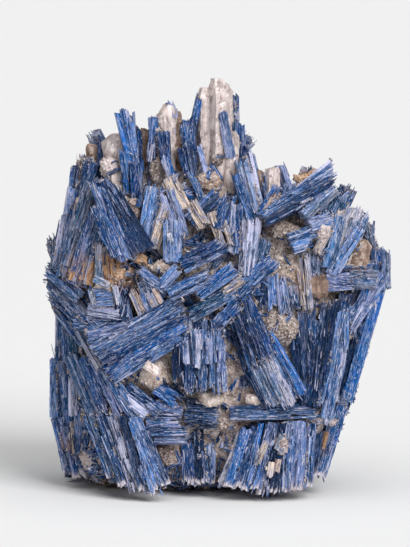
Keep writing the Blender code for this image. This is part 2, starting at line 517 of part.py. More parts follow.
def crystals():
    """Every lath of the cluster, as (root, tip, facing, lath)."""
    groups = (CROWN, CROWN_BEHIND, LEFT_SHOULDER, UPPER_MIDDLE, RIGHT_WING, LEFT_MIDDLE)
    groups += (MIDDLE, RIGHT, LEFT_LOWER, FOOT)
    for group in groups:
        for lath in group:
            yield seen(lath.root), seen(lath.tip), TOWARDS_VIEWER, lath
    yield from cladding()


def new_object(name, mesh, collection, materials):
    """The bmesh as an object of the collection."""
    data = bpy.data.meshes.new(name)
    mesh.to_mesh(data)
    mesh.free()
    for material in materials:
        data.materials.append(material)
    made = bpy.data.objects.new(name, data)
    collection.objects.link(made)
    return made


def finish(name, colour):
    """A plain glossy mineral finish."""
    material = bpy.data.materials.new(name)
    material.use_nodes = True
    shader = material.node_tree.nodes["Principled BSDF"]
    shader.inputs["Base Color"].default_value = colour
    shader.inputs["Roughness"].default_value = 0.35
    shader.inputs["Metallic"].default_value = 0
    return material


def helper(name, mesh, collection, materials):
    """A shape laid out in mm that a Boolean uses, drawn as wires and left out of renders."""
    bmesh.ops.recalc_face_normals(mesh, faces=mesh.faces)
    bmesh.ops.scale(mesh, vec=(MM, MM, MM), verts=mesh.verts)
    made = new_object(name, mesh, collection, materials)
    made.hide_render = True
    made.display_type = "WIRE"
    return made


def drop_crumbs(mesh):
    """Keeps the biggest connected piece, without loose crumbs and the sealed gaps between crystals."""
    unseen = dict.fromkeys(mesh.verts)
    largest = {}
    while unseen:
        piece = dict.fromkeys([unseen.popitem()[0]])
        growing = list(piece)
        while growing:
            for edge in growing.pop().link_edges:
                for vert in edge.verts:
                    if vert in unseen:
                        del unseen[vert]
                        piece[vert] = None
                        growing.append(vert)
        if len(piece) > len(largest):
            largest = piece
    bmesh.ops.delete(mesh, geom=[vert for vert in mesh.verts if vert not in largest])


def one_skin(helper_object):
    """The helper's evaluated mesh as one closed skin. Each spot where the skin folds onto itself is
    taken out, and the hole closed again."""
    graph = bpy.context.evaluated_depsgraph_get()
    mesh = bmesh.new()
    mesh.from_mesh(helper_object.evaluated_get(graph).to_mesh())
    for _ in range(MOST_MENDS):
        drop_crumbs(mesh)
        torn = [edge for edge in mesh.edges if not edge.is_manifold]
        if not torn:
            break
        around = dict.fromkeys(vert for edge in torn for vert in edge.verts)
        bmesh.ops.delete(mesh, geom=list(around))
        rim = [edge for edge in mesh.edges if edge.is_boundary]
        patch = bmesh.ops.holes_fill(mesh, edges=rim, sides=0)["faces"]
        bmesh.ops.triangulate(mesh, faces=patch)
    return mesh


def main():
    for old in list(bpy.data.objects):
        bpy.data.objects.remove(old)
    collection = bpy.data.collections.new("kyanite_cluster")
    helpers = bpy.data.collections.new("helpers")
    bpy.context.scene.collection.children.link(collection)
    bpy.context.scene.collection.children.link(helpers)
    materials = [finish(name, colour) for name, colour in TONE_COLOURS.items()]

    body = bmesh.new()
    add_body(body)
    rough = helper("rough_cluster", body, helpers, materials)

    grown = bmesh.new()
    for index, (root, tip, facing, lath) in enumerate(crystals()):
        add_bundle(grown, root, tip, facing, lath, index)
    for index, lump in enumerate(LUMPS):
        add_lump(grown, lump, index)
    ground = bmesh.new()
    bmesh.ops.create_cube(ground, size=400)
    bmesh.ops.translate(ground, verts=ground.verts, vec=(0, 0, -200))

    join = rough.modifiers.new("grow_together", "BOOLEAN")
    join.operation = "UNION"
    join.object = helper("grown_crystals", grown, helpers, materials)
    join.use_self = True
    soften = rough.modifiers.new("drop_the_smallest_chips", "DECIMATE")
    soften.ratio = KEEP_SHARE
    whole = new_object("whole_cluster", one_skin(rough), helpers, materials)
    whole.hide_render = True
    whole.display_type = "WIRE"
    trim = whole.modifiers.new("trim_the_foot", "BOOLEAN")
    trim.operation = "DIFFERENCE"
    trim.object = helper("ground", ground, helpers, ())
    new_object("kyanite_cluster", one_skin(whole), collection, materials)


main()
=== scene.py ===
"""A cabinet specimen of blue kyanite, with its blades grown through one another and through quartz.

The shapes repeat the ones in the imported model, then add what gives the stone its look: blades split
into fine ridged strips with splintered ends, sugary quartz, clear quartz points and rust stains.
"""

import math
import random
from collections import namedtuple

import bmesh
import bpy
import numpy as np
from mathutils import Matrix, Vector, noise
from mathutils.bvhtree import BVHTree
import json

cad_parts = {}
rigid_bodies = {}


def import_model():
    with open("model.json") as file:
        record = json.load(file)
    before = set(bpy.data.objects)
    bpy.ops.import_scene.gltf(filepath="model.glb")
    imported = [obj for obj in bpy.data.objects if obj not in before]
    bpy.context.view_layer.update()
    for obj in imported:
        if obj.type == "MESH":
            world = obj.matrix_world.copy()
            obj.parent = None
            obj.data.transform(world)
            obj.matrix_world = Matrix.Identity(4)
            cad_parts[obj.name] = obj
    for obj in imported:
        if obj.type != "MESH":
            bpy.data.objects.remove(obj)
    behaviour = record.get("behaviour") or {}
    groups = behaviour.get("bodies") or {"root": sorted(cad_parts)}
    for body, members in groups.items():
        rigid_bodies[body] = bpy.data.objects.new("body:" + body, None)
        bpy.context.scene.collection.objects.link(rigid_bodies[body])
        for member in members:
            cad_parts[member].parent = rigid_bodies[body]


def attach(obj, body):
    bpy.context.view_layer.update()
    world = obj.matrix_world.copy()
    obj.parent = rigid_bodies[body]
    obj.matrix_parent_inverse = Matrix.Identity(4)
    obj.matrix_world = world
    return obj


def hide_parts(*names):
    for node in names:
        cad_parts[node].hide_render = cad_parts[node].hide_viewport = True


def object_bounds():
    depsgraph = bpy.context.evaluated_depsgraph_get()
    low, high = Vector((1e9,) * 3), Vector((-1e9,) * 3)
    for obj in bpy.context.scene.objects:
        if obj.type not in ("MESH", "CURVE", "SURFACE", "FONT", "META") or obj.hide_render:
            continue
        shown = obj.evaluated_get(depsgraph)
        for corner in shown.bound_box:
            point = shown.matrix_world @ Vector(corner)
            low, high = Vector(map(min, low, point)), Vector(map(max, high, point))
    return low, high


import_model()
cad_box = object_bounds()

# The matrix: the lumpy, granular quartz that all the crystals grew in. It is the one mass that
# everything else is rooted in, pale beige to pinkish grey, stained with rust, and trimmed flat
# underneath. Sizes are in mm until each mesh is made.

MM = 0.001
VIEW_ELEVATION = math.radians(8)
TOWARDS_VIEWER = Vector((0, -math.cos(VIEW_ELEVATION), math.sin(VIEW_ELEVATION)))

# A place is (u, v, f): to the right of the middle, up from the foot as seen, and towards the viewer.
# A lath is wide at its tip. Fan is its root's share of that width, and cut is how far its tip's break
# rises for each mm to its right when its root is down.
Lath = namedtuple("Lath", "root tip wide thick roll tone fan cut", defaults=(1, 0))
Lump = namedtuple("Lump", "centre size tone")

TONES = {
    "ink": (0.0012, 0.018, 0.064),
    "navy": (0.002, 0.044, 0.15),
    "royal": (0.013, 0.128, 0.37),
    "blue": (0.014, 0.092, 0.26),
    "steel": (0.038, 0.092, 0.21),
    "teal": (0.013, 0.078, 0.165),
    "sky": (0.15, 0.24, 0.46),
    "pale": (0.5, 0.49, 0.64),
    "ice": (0.3, 0.33, 0.54),
    "grey": (0.18, 0.195, 0.28),
    "violet": (0.17, 0.19, 0.37),
    "frost": (0.56, 0.52, 0.57),
    "cream": (0.68, 0.56, 0.48),
    "beige": (0.52, 0.4, 0.36),
    "quartz": (0.72, 0.62, 0.62),
    "smoky": (0.24, 0.18, 0.15),
    "rust": (0.52, 0.3, 0.16),
}

# The body that carries the crystals, from the foot up: height, left, right, back and front, in mm.
BODY_RINGS = (
    (-4, -60, 40, -34, 2),
    (7, -69, 46, -42, 26),
    (22, -74, 53, -47, 32),
    (40, -75, 58, -49, 35),
    (62, -76, 65, -50, 36),
    (85, -77, 71, -48, 35),
    (104, -79, 75, -45, 33),
    (120, -75, 70, -41, 28),
    (134, -69, 56, -35, 22),
    (147, -61, 36, -28, 14),
    (158, -50, 16, -21, 8),
    (166, -40, 4, -14, 2),
)
RING_POINTS = 18
SQUARENESS = 2.6
BODY_RELIEF = 3.2

LUMPS = (
    Lump((-4, 152, 12), (9, 7, 8), "beige"),
    Lump((0, 164, 8), (5, 4, 4.4), "smoky"),
    Lump((-30, 157, 10), (6, 5, 9), "smoky"),
    Lump((-53, 159, 8), (7, 6, 8), "quartz"),
    Lump((-41, 138, 23), (4.4, 4, 9), "beige"),
    Lump((-62, 14, 8), (9, 8, 9), "quartz"),
    Lump((-55, 6, 6), (8, 7, 8), "smoky"),
    Lump((-31, 58, 35), (11, 8, 10), "cream"),
    Lump((-24, 17, 31), (8, 7, 8), "beige"),
    Lump((-2, 20, 28), (7, 7, 7), "smoky"),
    Lump((-3, 45, 40), (9, 5, 5), "cream"),
    Lump((8, 54, 33), (6.4, 6, 13), "beige"),
    Lump((20, 44, 37), (7, 5, 6), "cream"),
    Lump((5, 33, 36), (8, 6, 6), "beige"),
    Lump((31, 80, 33), (11, 7, 11), "smoky"),
    Lump((35, 106, 26), (7, 6, 8), "smoky"),
    Lump((33, 128, 21), (12, 7, 6), "smoky"),
    Lump((52, 128, 21), (7, 6, 7), "quartz"),
    Lump((43, 153, 7), (6, 6, 5), "rust"),
    Lump((49.4, 156, 4), (5, 5, 4.4), "quartz"),
    Lump((-48, 107, 30), (8, 6, 7), "rust"),
    Lump((-68, 108, 21), (8, 6, 6), "rust"),
    Lump((-38, 114, 32), (5, 4, 4), "rust"),
    Lump((-27, 109.4, 35), (8.4, 4.4, 4.6), "cream"),
    Lump((-57, 95, 32), (9, 5, 8), "cream"),
    Lump((48.4, 36.4, 35), (4, 4, 4), "quartz"),
    Lump((57.2, 33, 33), (3.4, 3.4, 3.4), "quartz"),
    Lump((32, 22, 42), (5, 4, 6), "quartz"),
    Lump((-46, 18, 27), (19, 11, 19), "beige"),
    Lump((25, 17, 31), (21, 9, 19), "beige"),
)

MATRIX_VOXEL = 1.5
GRAIN_PITCH = 2.6
GRAIN_RELIEF = 0.9
BLOCK_PITCH = 7.5
BLOCK_RELIEF = 3.0
MATRIX_TINTS = ("beige", "quartz", "smoky", "cream", "grey")
DULL_STONE = (0.42, 0.35, 0.34)
PALE_GRAIN = (0.8, 0.73, 0.72)
DARK_GRAIN = (0.12, 0.08, 0.07)
FOOT_HEIGHT = 0.4

# Rust has stained the specimen in these spots: where, how far it reaches in mm, and how strongly.
STAINS = (
    ((-67, 109, 20), 9, 1.0),
    ((-70, 103, 20), 6, 0.8),
    ((-48, 107, 33), 8, 0.9),
    ((-38, 114, 34), 5, 0.8),
    ((43, 154, 8), 7, 0.9),
    ((39, 103, 28), 7, 0.6),
    ((53, 23, 22), 5, 0.8),
    ((38, -1, 42), 5, 0.7),
    ((-72, 24, 8), 6, 0.6),
    ((0, 150, 14), 8, 0.35),
    ((68, 112, 16), 9, 0.4),
    ((50, 100, 30), 8, 0.45),
    ((20, 90, -46), 14, 0.6),
    ((-30, 60, -50), 12, 0.6),
    ((-70, 60, -20), 10, 0.5),
    ((50, 30, -40), 12, 0.5),
)


def seen(place):
    """The point in the object's frame, in mm, that shows at (u, v) and lies f towards the viewer."""
    u, v, f = place
    height = (v + f * math.sin(VIEW_ELEVATION)) / math.cos(VIEW_ELEVATION)
    return Vector((u, -f, height))


def spread(index, salt):
    """A steady value from -1 to 1 that differs from one crystal to the next."""
    return 2 * math.modf(math.sin(index * 12.9898 + salt * 78.233) * 437.585)[0] % 2 - 1


def drift(point):
    """A push that changes smoothly from place to place."""
    return Vector([noise.noise(point + Vector((0, 0, 31.7 * axis))) for axis in range(3)])


def ring_point(ring, turn):
    """A point on one ring of the body, on a squared oval."""
    height, left, right, back, front = ring
    middle = Vector(((left + right) / 2, -(back + front) / 2, height))
    power = 2 / SQUARENESS
    sine, cosine = math.sin(turn), math.cos(turn)
    side = math.copysign(abs(cosine) ** power, cosine) * (right - left) / 2
    depth = math.copysign(abs(sine) ** power, sine) * (front - back) / 2
    return middle + Vector((side, depth, 0))


def ring_at(height):
    """The body's ring at any height, between the two rings nearest it."""
    for lower, upper in zip(BODY_RINGS, BODY_RINGS[1:]):
        if lower[0] <= height <= upper[0]:
            share = (height - lower[0]) / (upper[0] - lower[0])
            return [a + (b - a) * share for a, b in zip(lower, upper)]
    return BODY_RINGS[-1]


def stain_at(points):
    """How rusty each point is, from 0 to 1."""
    found = np.zeros(len(points))
    for place, reach, strength in STAINS:
        away = np.linalg.norm(points - np.array(seen(place)), axis=1) / reach
        found = np.maximum(found, strength * np.clip(1.4 - away, 0, 1))
    return found


def to_mesh(name, points, faces, uvs=None, tones=None, stains=None, broken=None):
    """A mesh object in metres from points in mm, with its own map and colours."""
    data = bpy.data.meshes.new(name)
    data.from_pydata(np.asarray(points) * MM, [], faces)
    if uvs is not None:
        corner_verts = np.empty(len(data.loops), np.int32)
        data.loops.foreach_get("vertex_index", corner_verts)
        layer = data.uv_layers.new(name="blade_mm")
        layer.data.foreach_set("uv", np.asarray(uvs, np.float32)[corner_verts].ravel())
    if tones is not None:
        layer = data.color_attributes.new("tone", "FLOAT_COLOR", "POINT")
        rgba = np.ones((len(data.vertices), 4), np.float32)
        rgba[:, :3] = tones
        layer.data.foreach_set("color", rgba.ravel())
    for label, values in (("stain", stains), ("broken", broken)):
        if values is not None:
            layer = data.attributes.new(label, "FLOAT", "POINT")
            layer.data.foreach_set("value", np.asarray(values, np.float32))
    made = bpy.data.objects.new(name, data)
    bpy.context.scene.collection.objects.link(made)
    return made


def settled(rough, name):
    """The object as its modifiers leave it, as a plain mesh under its final name."""
    graph = bpy.context.evaluated_depsgraph_get()
    data = bpy.data.meshes.new_from_object(rough.evaluated_get(graph))
    data.name = name
    bpy.data.objects.remove(rough)
    made = bpy.data.objects.new(name, data)
    bpy.context.scene.collection.objects.link(made)
    return made


def kept_inside(points):
    """The points in mm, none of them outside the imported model's box."""
    low, high = (np.array(corner) / MM for corner in cad_box)
    return np.clip(points, low + 0.1, high - 0.1)


def mixed(tree, share, first, second, blend="MIX"):
    """A colour mix node. Each of the three is a socket or a plain value."""
    node = tree.nodes.new("ShaderNodeMix")
    node.data_type = "RGBA"
    node.blend_type = blend
    for socket, value in ((node.inputs[0], share), (node.inputs[6], first), (node.inputs[7], second)):
        if isinstance(value, bpy.types.NodeSocket):
            tree.links.new(value, socket)
        elif isinstance(value, tuple):
            socket.default_value = (*value, 1)
        else:
            socket.default_value = value
    return node.outputs[2]


def noise_on(tree, where, scale, detail=3, rough=0.55):
    """A noise texture over the given coordinates, and its value."""
    node = tree.nodes.new("ShaderNodeTexNoise")
    node.inputs["Scale"].default_value = scale
    node.inputs["Detail"].default_value = detail
    node.inputs["Roughness"].default_value = rough
    tree.links.new(where, node.inputs["Vector"])
    return node.outputs["Fac"]


def stretched(tree, where, scale):
    """The coordinates multiplied by scale, one number for each axis."""
    node = tree.nodes.new("ShaderNodeMapping")
    node.inputs["Scale"].default_value = scale
    tree.links.new(where, node.inputs["Vector"])
    return node.outputs["Vector"]


def maths(tree, operation, first, second=0.0, clamp=False):
    """A math node, whose inputs are sockets or numbers."""
    node = tree.nodes.new("ShaderNodeMath")
    node.operation = operation
    node.use_clamp = clamp
    for socket, value in ((node.inputs[0], first), (node.inputs[1], second)):
        if isinstance(value, bpy.types.NodeSocket):
            tree.links.new(value, socket)
        else:
            socket.default_value = value
    return node.outputs[0]


def raised(tree, height, distance, strength=1.0, below=None):
    """A bump of that height in metres, on top of another if one is given."""
    node = tree.nodes.new("ShaderNodeBump")
    node.inputs["Strength"].default_value = strength
    node.inputs["Distance"].default_value = distance
    tree.links.new(height, node.inputs["Height"])
    if below is not None:
        tree.links.new(below, node.inputs["Normal"])
    return node.outputs["Normal"]


def attribute(tree, name, output="Fac"):
    node = tree.nodes.new("ShaderNodeAttribute")
    node.attribute_name = name
    return node.outputs[output]


def new_material(name):
    made = bpy.data.materials.new(name)
    made.use_nodes = True
    return made, made.node_tree, made.node_tree.nodes["Principled BSDF"]


def ramp_of(tree, value, low, high, least=0, most=1):
    """The value stretched so that low gives the least and high the most."""
    node = tree.nodes.new("ShaderNodeMapRange")
    for label, number in (("From Min", low), ("From Max", high), ("To Min", least), ("To Max", most)):
        node.inputs[label].default_value = number
    tree.links.new(value, node.inputs["Value"])
    return node.outputs["Result"]


def layered(tree, colour, layers):
    """The colour with others laid over it in turn. Each layer is its share and its colour."""
    for share, over in layers:
        colour = mixed(tree, share, colour, over)
    return colour


def rock_material():
    """Granular quartz: mottled, sugary, rusty in places, and a little glossy on its facets."""
    made, tree, shader = new_material("rusty_quartz_matrix")
    where = tree.nodes.new("ShaderNodeTexCoord").outputs["Object"]
    patches = noise_on(tree, where, 90, 4)
    fine = noise_on(tree, where, 900, 3, 0.7)
    tone = attribute(tree, "tone", "Color")
    dull = mixed(tree, 1.0, tone, DULL_STONE, "MULTIPLY")
    spots = ramp_of(tree, noise_on(tree, where, 260, 4), 0.36, 0.6)
    rusty = maths(tree, "MULTIPLY", attribute(tree, "stain"), spots, True)
    colour = layered(tree, tone, (
        (ramp_of(tree, patches, 0.46, 0.62), dull),
        (ramp_of(tree, fine, 0.5, 0.68), PALE_GRAIN),
        (ramp_of(tree, fine, 0.39, 0.29), DARK_GRAIN),
        (rusty, TONES["rust"]),
    ))
    tree.links.new(colour, shader.inputs["Base Color"])
    grain = tree.nodes.new("ShaderNodeTexVoronoi")
    grain.inputs["Scale"].default_value = 700
    tree.links.new(where, grain.inputs["Vector"])
    tree.links.new(raised(tree, grain.outputs["Distance"], 0.0009, 0.8), shader.inputs["Normal"])
    tree.links.new(ramp_of(tree, fine, 0.75, 0.3), shader.inputs["Roughness"])
    shader.inputs["IOR"].default_value = 1.54
    return made


def body_shell():
    """The loft through the rings and the lumps on it, as separate closed shells, in mm."""
    mesh = bmesh.new()
    rings = []
    for ring in BODY_RINGS:
        verts = []
        for number in range(RING_POINTS):
            point = ring_point(ring, 2 * math.pi * number / RING_POINTS)
            point += drift(point / 17) * BODY_RELIEF
            verts.append(mesh.verts.new(point))
        rings.append(verts)
    for lower, upper in zip(rings, rings[1:]):
        for number in range(RING_POINTS):
            after = (number + 1) % RING_POINTS
            mesh.faces.new((lower[number], lower[after], upper[after], upper[number]))
    mesh.faces.new(reversed(rings[0]))
    mesh.faces.new(rings[-1])
    for index, lump in enumerate(LUMPS):
        made = bmesh.ops.create_icosphere(mesh, subdivisions=1, radius=1)["verts"]
        centre = seen(lump.centre)
        for number, vert in enumerate(made):
            stretch = 1 + 0.16 * spread(index * 12 + number, 2)
            vert.co = centre + vert.co * Vector(lump.size) * stretch
    bmesh.ops.recalc_face_normals(mesh, faces=mesh.faces)
    bmesh.ops.scale(mesh, vec=(MM, MM, MM), verts=mesh.verts)
    data = bpy.data.meshes.new("shell")
    mesh.to_mesh(data)
    mesh.free()
    made = bpy.data.objects.new("shell", data)
    bpy.context.scene.collection.objects.link(made)
    return made


def tone_of_matrix(point, lumps):
    """The matrix's own colour at a point: a drift between its tints, or its lump's tone."""
    share = (noise.noise(point / 9) * 0.5 + 0.5) * len(MATRIX_TINTS) * 0.999
    colour = Vector(TONES[MATRIX_TINTS[int(share) % len(MATRIX_TINTS)]])
    for centre, reach, tone in lumps:
        if (point - centre).length < reach:
            return colour.lerp(Vector(TONES[tone]), 0.75)
    return colour


rough_matrix = body_shell()
remesh = rough_matrix.modifiers.new("one_skin", "REMESH")
remesh.mode = "VOXEL"
remesh.voxel_size = MATRIX_VOXEL * MM
matrix_body = settled(rough_matrix, "matrix_body")
lump_reach = [(seen(lump.centre), max(lump.size) * 1.1, lump.tone) for lump in LUMPS]
matrix_tones = []
matrix_points = []
for vert in matrix_body.data.vertices:
    point = vert.co / MM
    normal = vert.normal.copy()
    near = noise.voronoi(point / GRAIN_PITCH)[0]
    point += normal * (near[1] - near[0] - 0.25) * GRAIN_RELIEF
    block = noise.voronoi(point / BLOCK_PITCH)[0]
    point += normal * (min(block[1] - block[0], 0.6) - 0.35) * BLOCK_RELIEF
    point.z = max(point.z, 0) if point.z > FOOT_HEIGHT else 0
    matrix_tones.append(tone_of_matrix(point, lump_reach))
    matrix_points.append(point)
matrix_points = np.array(matrix_points)
matrix_body.data.vertices.foreach_set("co", (matrix_points * MM).ravel())
tone_layer = matrix_body.data.color_attributes.new("tone", "FLOAT_COLOR", "POINT")
tone_layer.data.foreach_set("color", np.insert(np.array(matrix_tones), 3, 1, axis=1).ravel())
stain_layer = matrix_body.data.attributes.new("stain", "FLOAT", "POINT")
stain_layer.data.foreach_set("value", stain_at(matrix_points).astype(np.float32))
matrix_body.data.polygons.foreach_set("use_smooth", [True] * len(matrix_body.data.polygons))
matrix_body.data.materials.append(rock_material())
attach(matrix_body, "root")
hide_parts("kyanite_cluster")

# The blades: flat laths of blue kyanite, rooted in the matrix and grown through one another in fans
# and sprays. Each is split along its length into narrow strips whose ends are broken off unevenly.

CROWN = (
    Lath((-41, 156, 11), (-47.4, 188.4, 10), 6.8, 4.5, 12, "royal", 0.6, -0.1),
    Lath((-41, 160, 7), (-42.6, 189.5, 7), 3.6, 2.4, -20, "ice"),
    Lath((-40.4, 160, 12), (-43.6, 184.5, 10), 4, 3, 10, "blue", 0.8, -0.6),
    Lath((-45, 146, 15), (-46.6, 168.5, 13), 4.8, 3, 0, "royal", 0.5),
    Lath((-40, 141, 16), (-40.4, 162.5, 14), 6.8, 4.5, 8, "navy", 0.7),
    Lath((-38.4, 150, 9), (-39.2, 180.5, 7), 2.4, 2.4, 0, "royal"),
    Lath((-36, 148, 2), (-36, 179.5, 0), 5.8, 5, 0, "smoky"),
    Lath((-33.8, 150, 9), (-31.4, 185.5, 6), 4.8, 3.4, 0, "ice", 0.6),
    Lath((-25.6, 150, 5), (-25, 191, 2), 10.5, 8, 8, "quartz"),
    Lath((-25.6, 160, 11), (-26.6, 177.5, 8), 6, 4, 0, "navy", 0.8),
    Lath((-23.2, 170, 4), (-22.4, 193, 2), 4.4, 4, 0, "ice"),
    Lath((-17, 141, 6), (-19.8, 187.5, 1), 5.8, 5, 0, "smoky"),
    Lath((-12.4, 162, 8), (-15, 184.5, 5), 7.4, 4.5, -12, "blue", 0.7),
    Lath((-13, 155, 11), (-16, 169.5, 9), 7.6, 4.4, 0, "navy", 0.7, -0.3),
    Lath((-5, 150, 1), (-5.4, 199.5, -2), 9.4, 9, 0, "quartz"),
    Lath((1.2, 148, 3), (1.4, 204, 0), 12.5, 11, 8, "quartz"),
    Lath((-13, 172, 0), (-7.8, 197, -2), 4.8, 3, 0, "ice", 0.8),
    Lath((-11.4, 182, 3), (-8.8, 194, 1), 3.2, 3, 0, "royal"),
    Lath((7, 164, 7), (2.6, 188.5, 6), 4, 2.6, 0, "ice", 1.2),
    Lath((6.4, 146, 10), (8.4, 178, 3), 6.4, 5, 0, "quartz"),
    Lath((9, 168, 0), (8.6, 190, -3), 4.6, 4, 0, "frost"),
    Lath((9, 183, -2), (8.6, 197, -4), 4.4, 3.4, 0, "steel"),
    Lath((10.4, 158, 3), (9.8, 182.5, -1), 4.8, 3.6, 0, "navy", 0.5),
    Lath((14, 158, -5), (12, 183, -6), 3.2, 2.6, 0, "ice"),
    Lath((13.8, 154, -3), (14.4, 170.5, -4), 4, 3.6, 0, "navy"),
    Lath((21, 133, 21), (12.2, 167.5, 10), 9, 5.5, 10, "pale", 0.8, 0.2),
    Lath((21.4, 136, 17), (17, 162.5, 6), 3.4, 3, 0, "pale"),
    Lath((17, 132, 23), (9, 157, 15), 5.2, 3.4, 0, "blue", 1.2),
    Lath((-7, 142, 16), (-13.4, 157.5, 12), 4, 3, 0, "steel"),
    Lath((-5, 156, 12), (-10, 172, 9), 2.4, 2.4, 0, "ice"),
    Lath((-21, 149, 17), (-26, 165, 15), 5, 3.4, 0, "royal", 0.6),
)

CROWN_BEHIND = (
    Lath((-52, 140, -14), (-55, 168, -20), 8, 6, 20, "quartz"),
    Lath((-44, 142, -16), (-46, 178, -20), 7, 4.5, -30, "steel"),
    Lath((-36, 145, -12), (-40, 174, -16), 6, 4, 10, "blue"),
    Lath((-30, 143, -16), (-28, 181, -19), 8, 6, 30, "smoky"),
    Lath((-20, 145, -12), (-21, 180, -15), 6.5, 4, -15, "navy"),
    Lath((-10, 146, -14), (-12, 184, -17), 8.5, 7, 0, "quartz"),
    Lath((-2, 145, -12), (3, 188, -15), 7, 4.5, 25, "pale"),
    Lath((6, 142, -14), (8, 176, -20), 6.5, 4, -20, "blue"),
    Lath((14, 138, -12), (16, 158, -18), 7, 4.5, 10, "steel"),
    Lath((26, 132, -14), (29, 153, -20), 7, 5, 0, "smoky"),
    Lath((38, 126, -14), (43, 149, -18), 7.5, 4.5, 30, "navy"),
)

LEFT_SHOULDER = (
    Lath((-46, 140, 12), (-52.4, 176, 1), 11.5, 10, 0, "quartz"),
    Lath((-60.4, 148, 1), (-62, 171.5, -4), 7.6, 6, 0, "smoky"),
    Lath((-58.4, 154, 4), (-57.6, 173, 0), 3.4, 3, 0, "ink"),
    Lath((-67.6, 142, 1), (-67, 166, -5), 6.6, 6, 0, "beige"),
    Lath((-69.4, 138, 9), (-61.6, 164, 4), 7.4, 4.5, 0, "navy", 0.7, -0.3),
    Lath((-75.4, 128, 3), (-70.4, 160, -3), 5.4, 4, 0, "blue"),
    Lath((-77.6, 116, 8), (-71.6, 150, 3), 6, 4.4, 15, "sky"),
    Lath((-74, 112, 15), (-67, 146, 12), 4.4, 4, 0, "cream"),
    Lath((-79.6, 109, 8), (-74, 136, 6), 6.4, 4.4, 10, "pale"),
    Lath((-81.6, 107, 2), (-76.8, 133, -2), 4.6, 4, 0, "grey"),
    Lath((-75, 104, 18), (-62, 151, 18), 8.4, 5, 0, "grey", 1.2, -0.3),
    Lath((-69, 101, 23), (-58, 140, 25), 8, 5, 0, "violet", 1.2),
    Lath((-36.5, 117, 35), (-56.5, 153.5, 24), 9, 6.5, 10, "ink", 1.35, -0.8),
    Lath((-45, 113, 37), (-60.4, 152, 28), 6.4, 5, 0, "blue", 1.2, 0.2),
    Lath((-49, 115, 38), (-60.5, 141, 32), 6, 4, -8, "blue"),
    Lath((-63, 114, 24), (-56, 131, 27), 8, 5, 0, "teal"),
)

UPPER_MIDDLE = (
    Lath((-37, 118, 31), (-30, 151, 21), 8.8, 5, 0, "sky", 0.8, 0.2),
    Lath((-39, 139, 24), (-35, 152, 19), 3.4, 3.4, 0, "navy"),
    Lath((-16, 138, 27), (-24.4, 154, 21), 6.4, 4, 0, "cream", 1.2, 0.4),
    Lath((-31.4, 119, 33), (-25.6, 141, 28), 4.8, 3.6, 0, "cream"),
    Lath((-18, 124, 33), (-25, 148, 24), 8.6, 4.6, -10, "ice", 0.8),
    Lath((-22, 112, 37), (-22, 134, 32), 9.6, 5, 0, "sky", 0.9),
    Lath((-13, 141, 24), (-6, 129, 29), 7, 5, 0, "cream"),
    Lath((-3.6, 137, 27), (3, 119.6, 32), 4, 3, 0, "cream"),
    Lath((3, 133, 27), (7.4, 120.5, 32), 3.4, 3, 0, "cream"),
    Lath((14.4, 105, 37), (16.8, 134, 29), 9, 5, -14, "pale", 0.8),
    Lath((9, 116, 33), (9.6, 141, 24), 6, 4.4, 0, "navy"),
    Lath((-14, 132, 28), (1, 146, 21), 8, 4.6, 0, "ink"),
    Lath((1, 128, 29), (6, 146, 20), 7, 4.6, 0, "navy"),
    Lath((-17.6, 110.5, 38), (4, 121.5, 37), 8.4, 5, 10, "navy", 1, 0.3),
    Lath((19.4, 108, 34), (24.6, 124.5, 29), 5.6, 3.6, 0, "teal", 1.1),
)

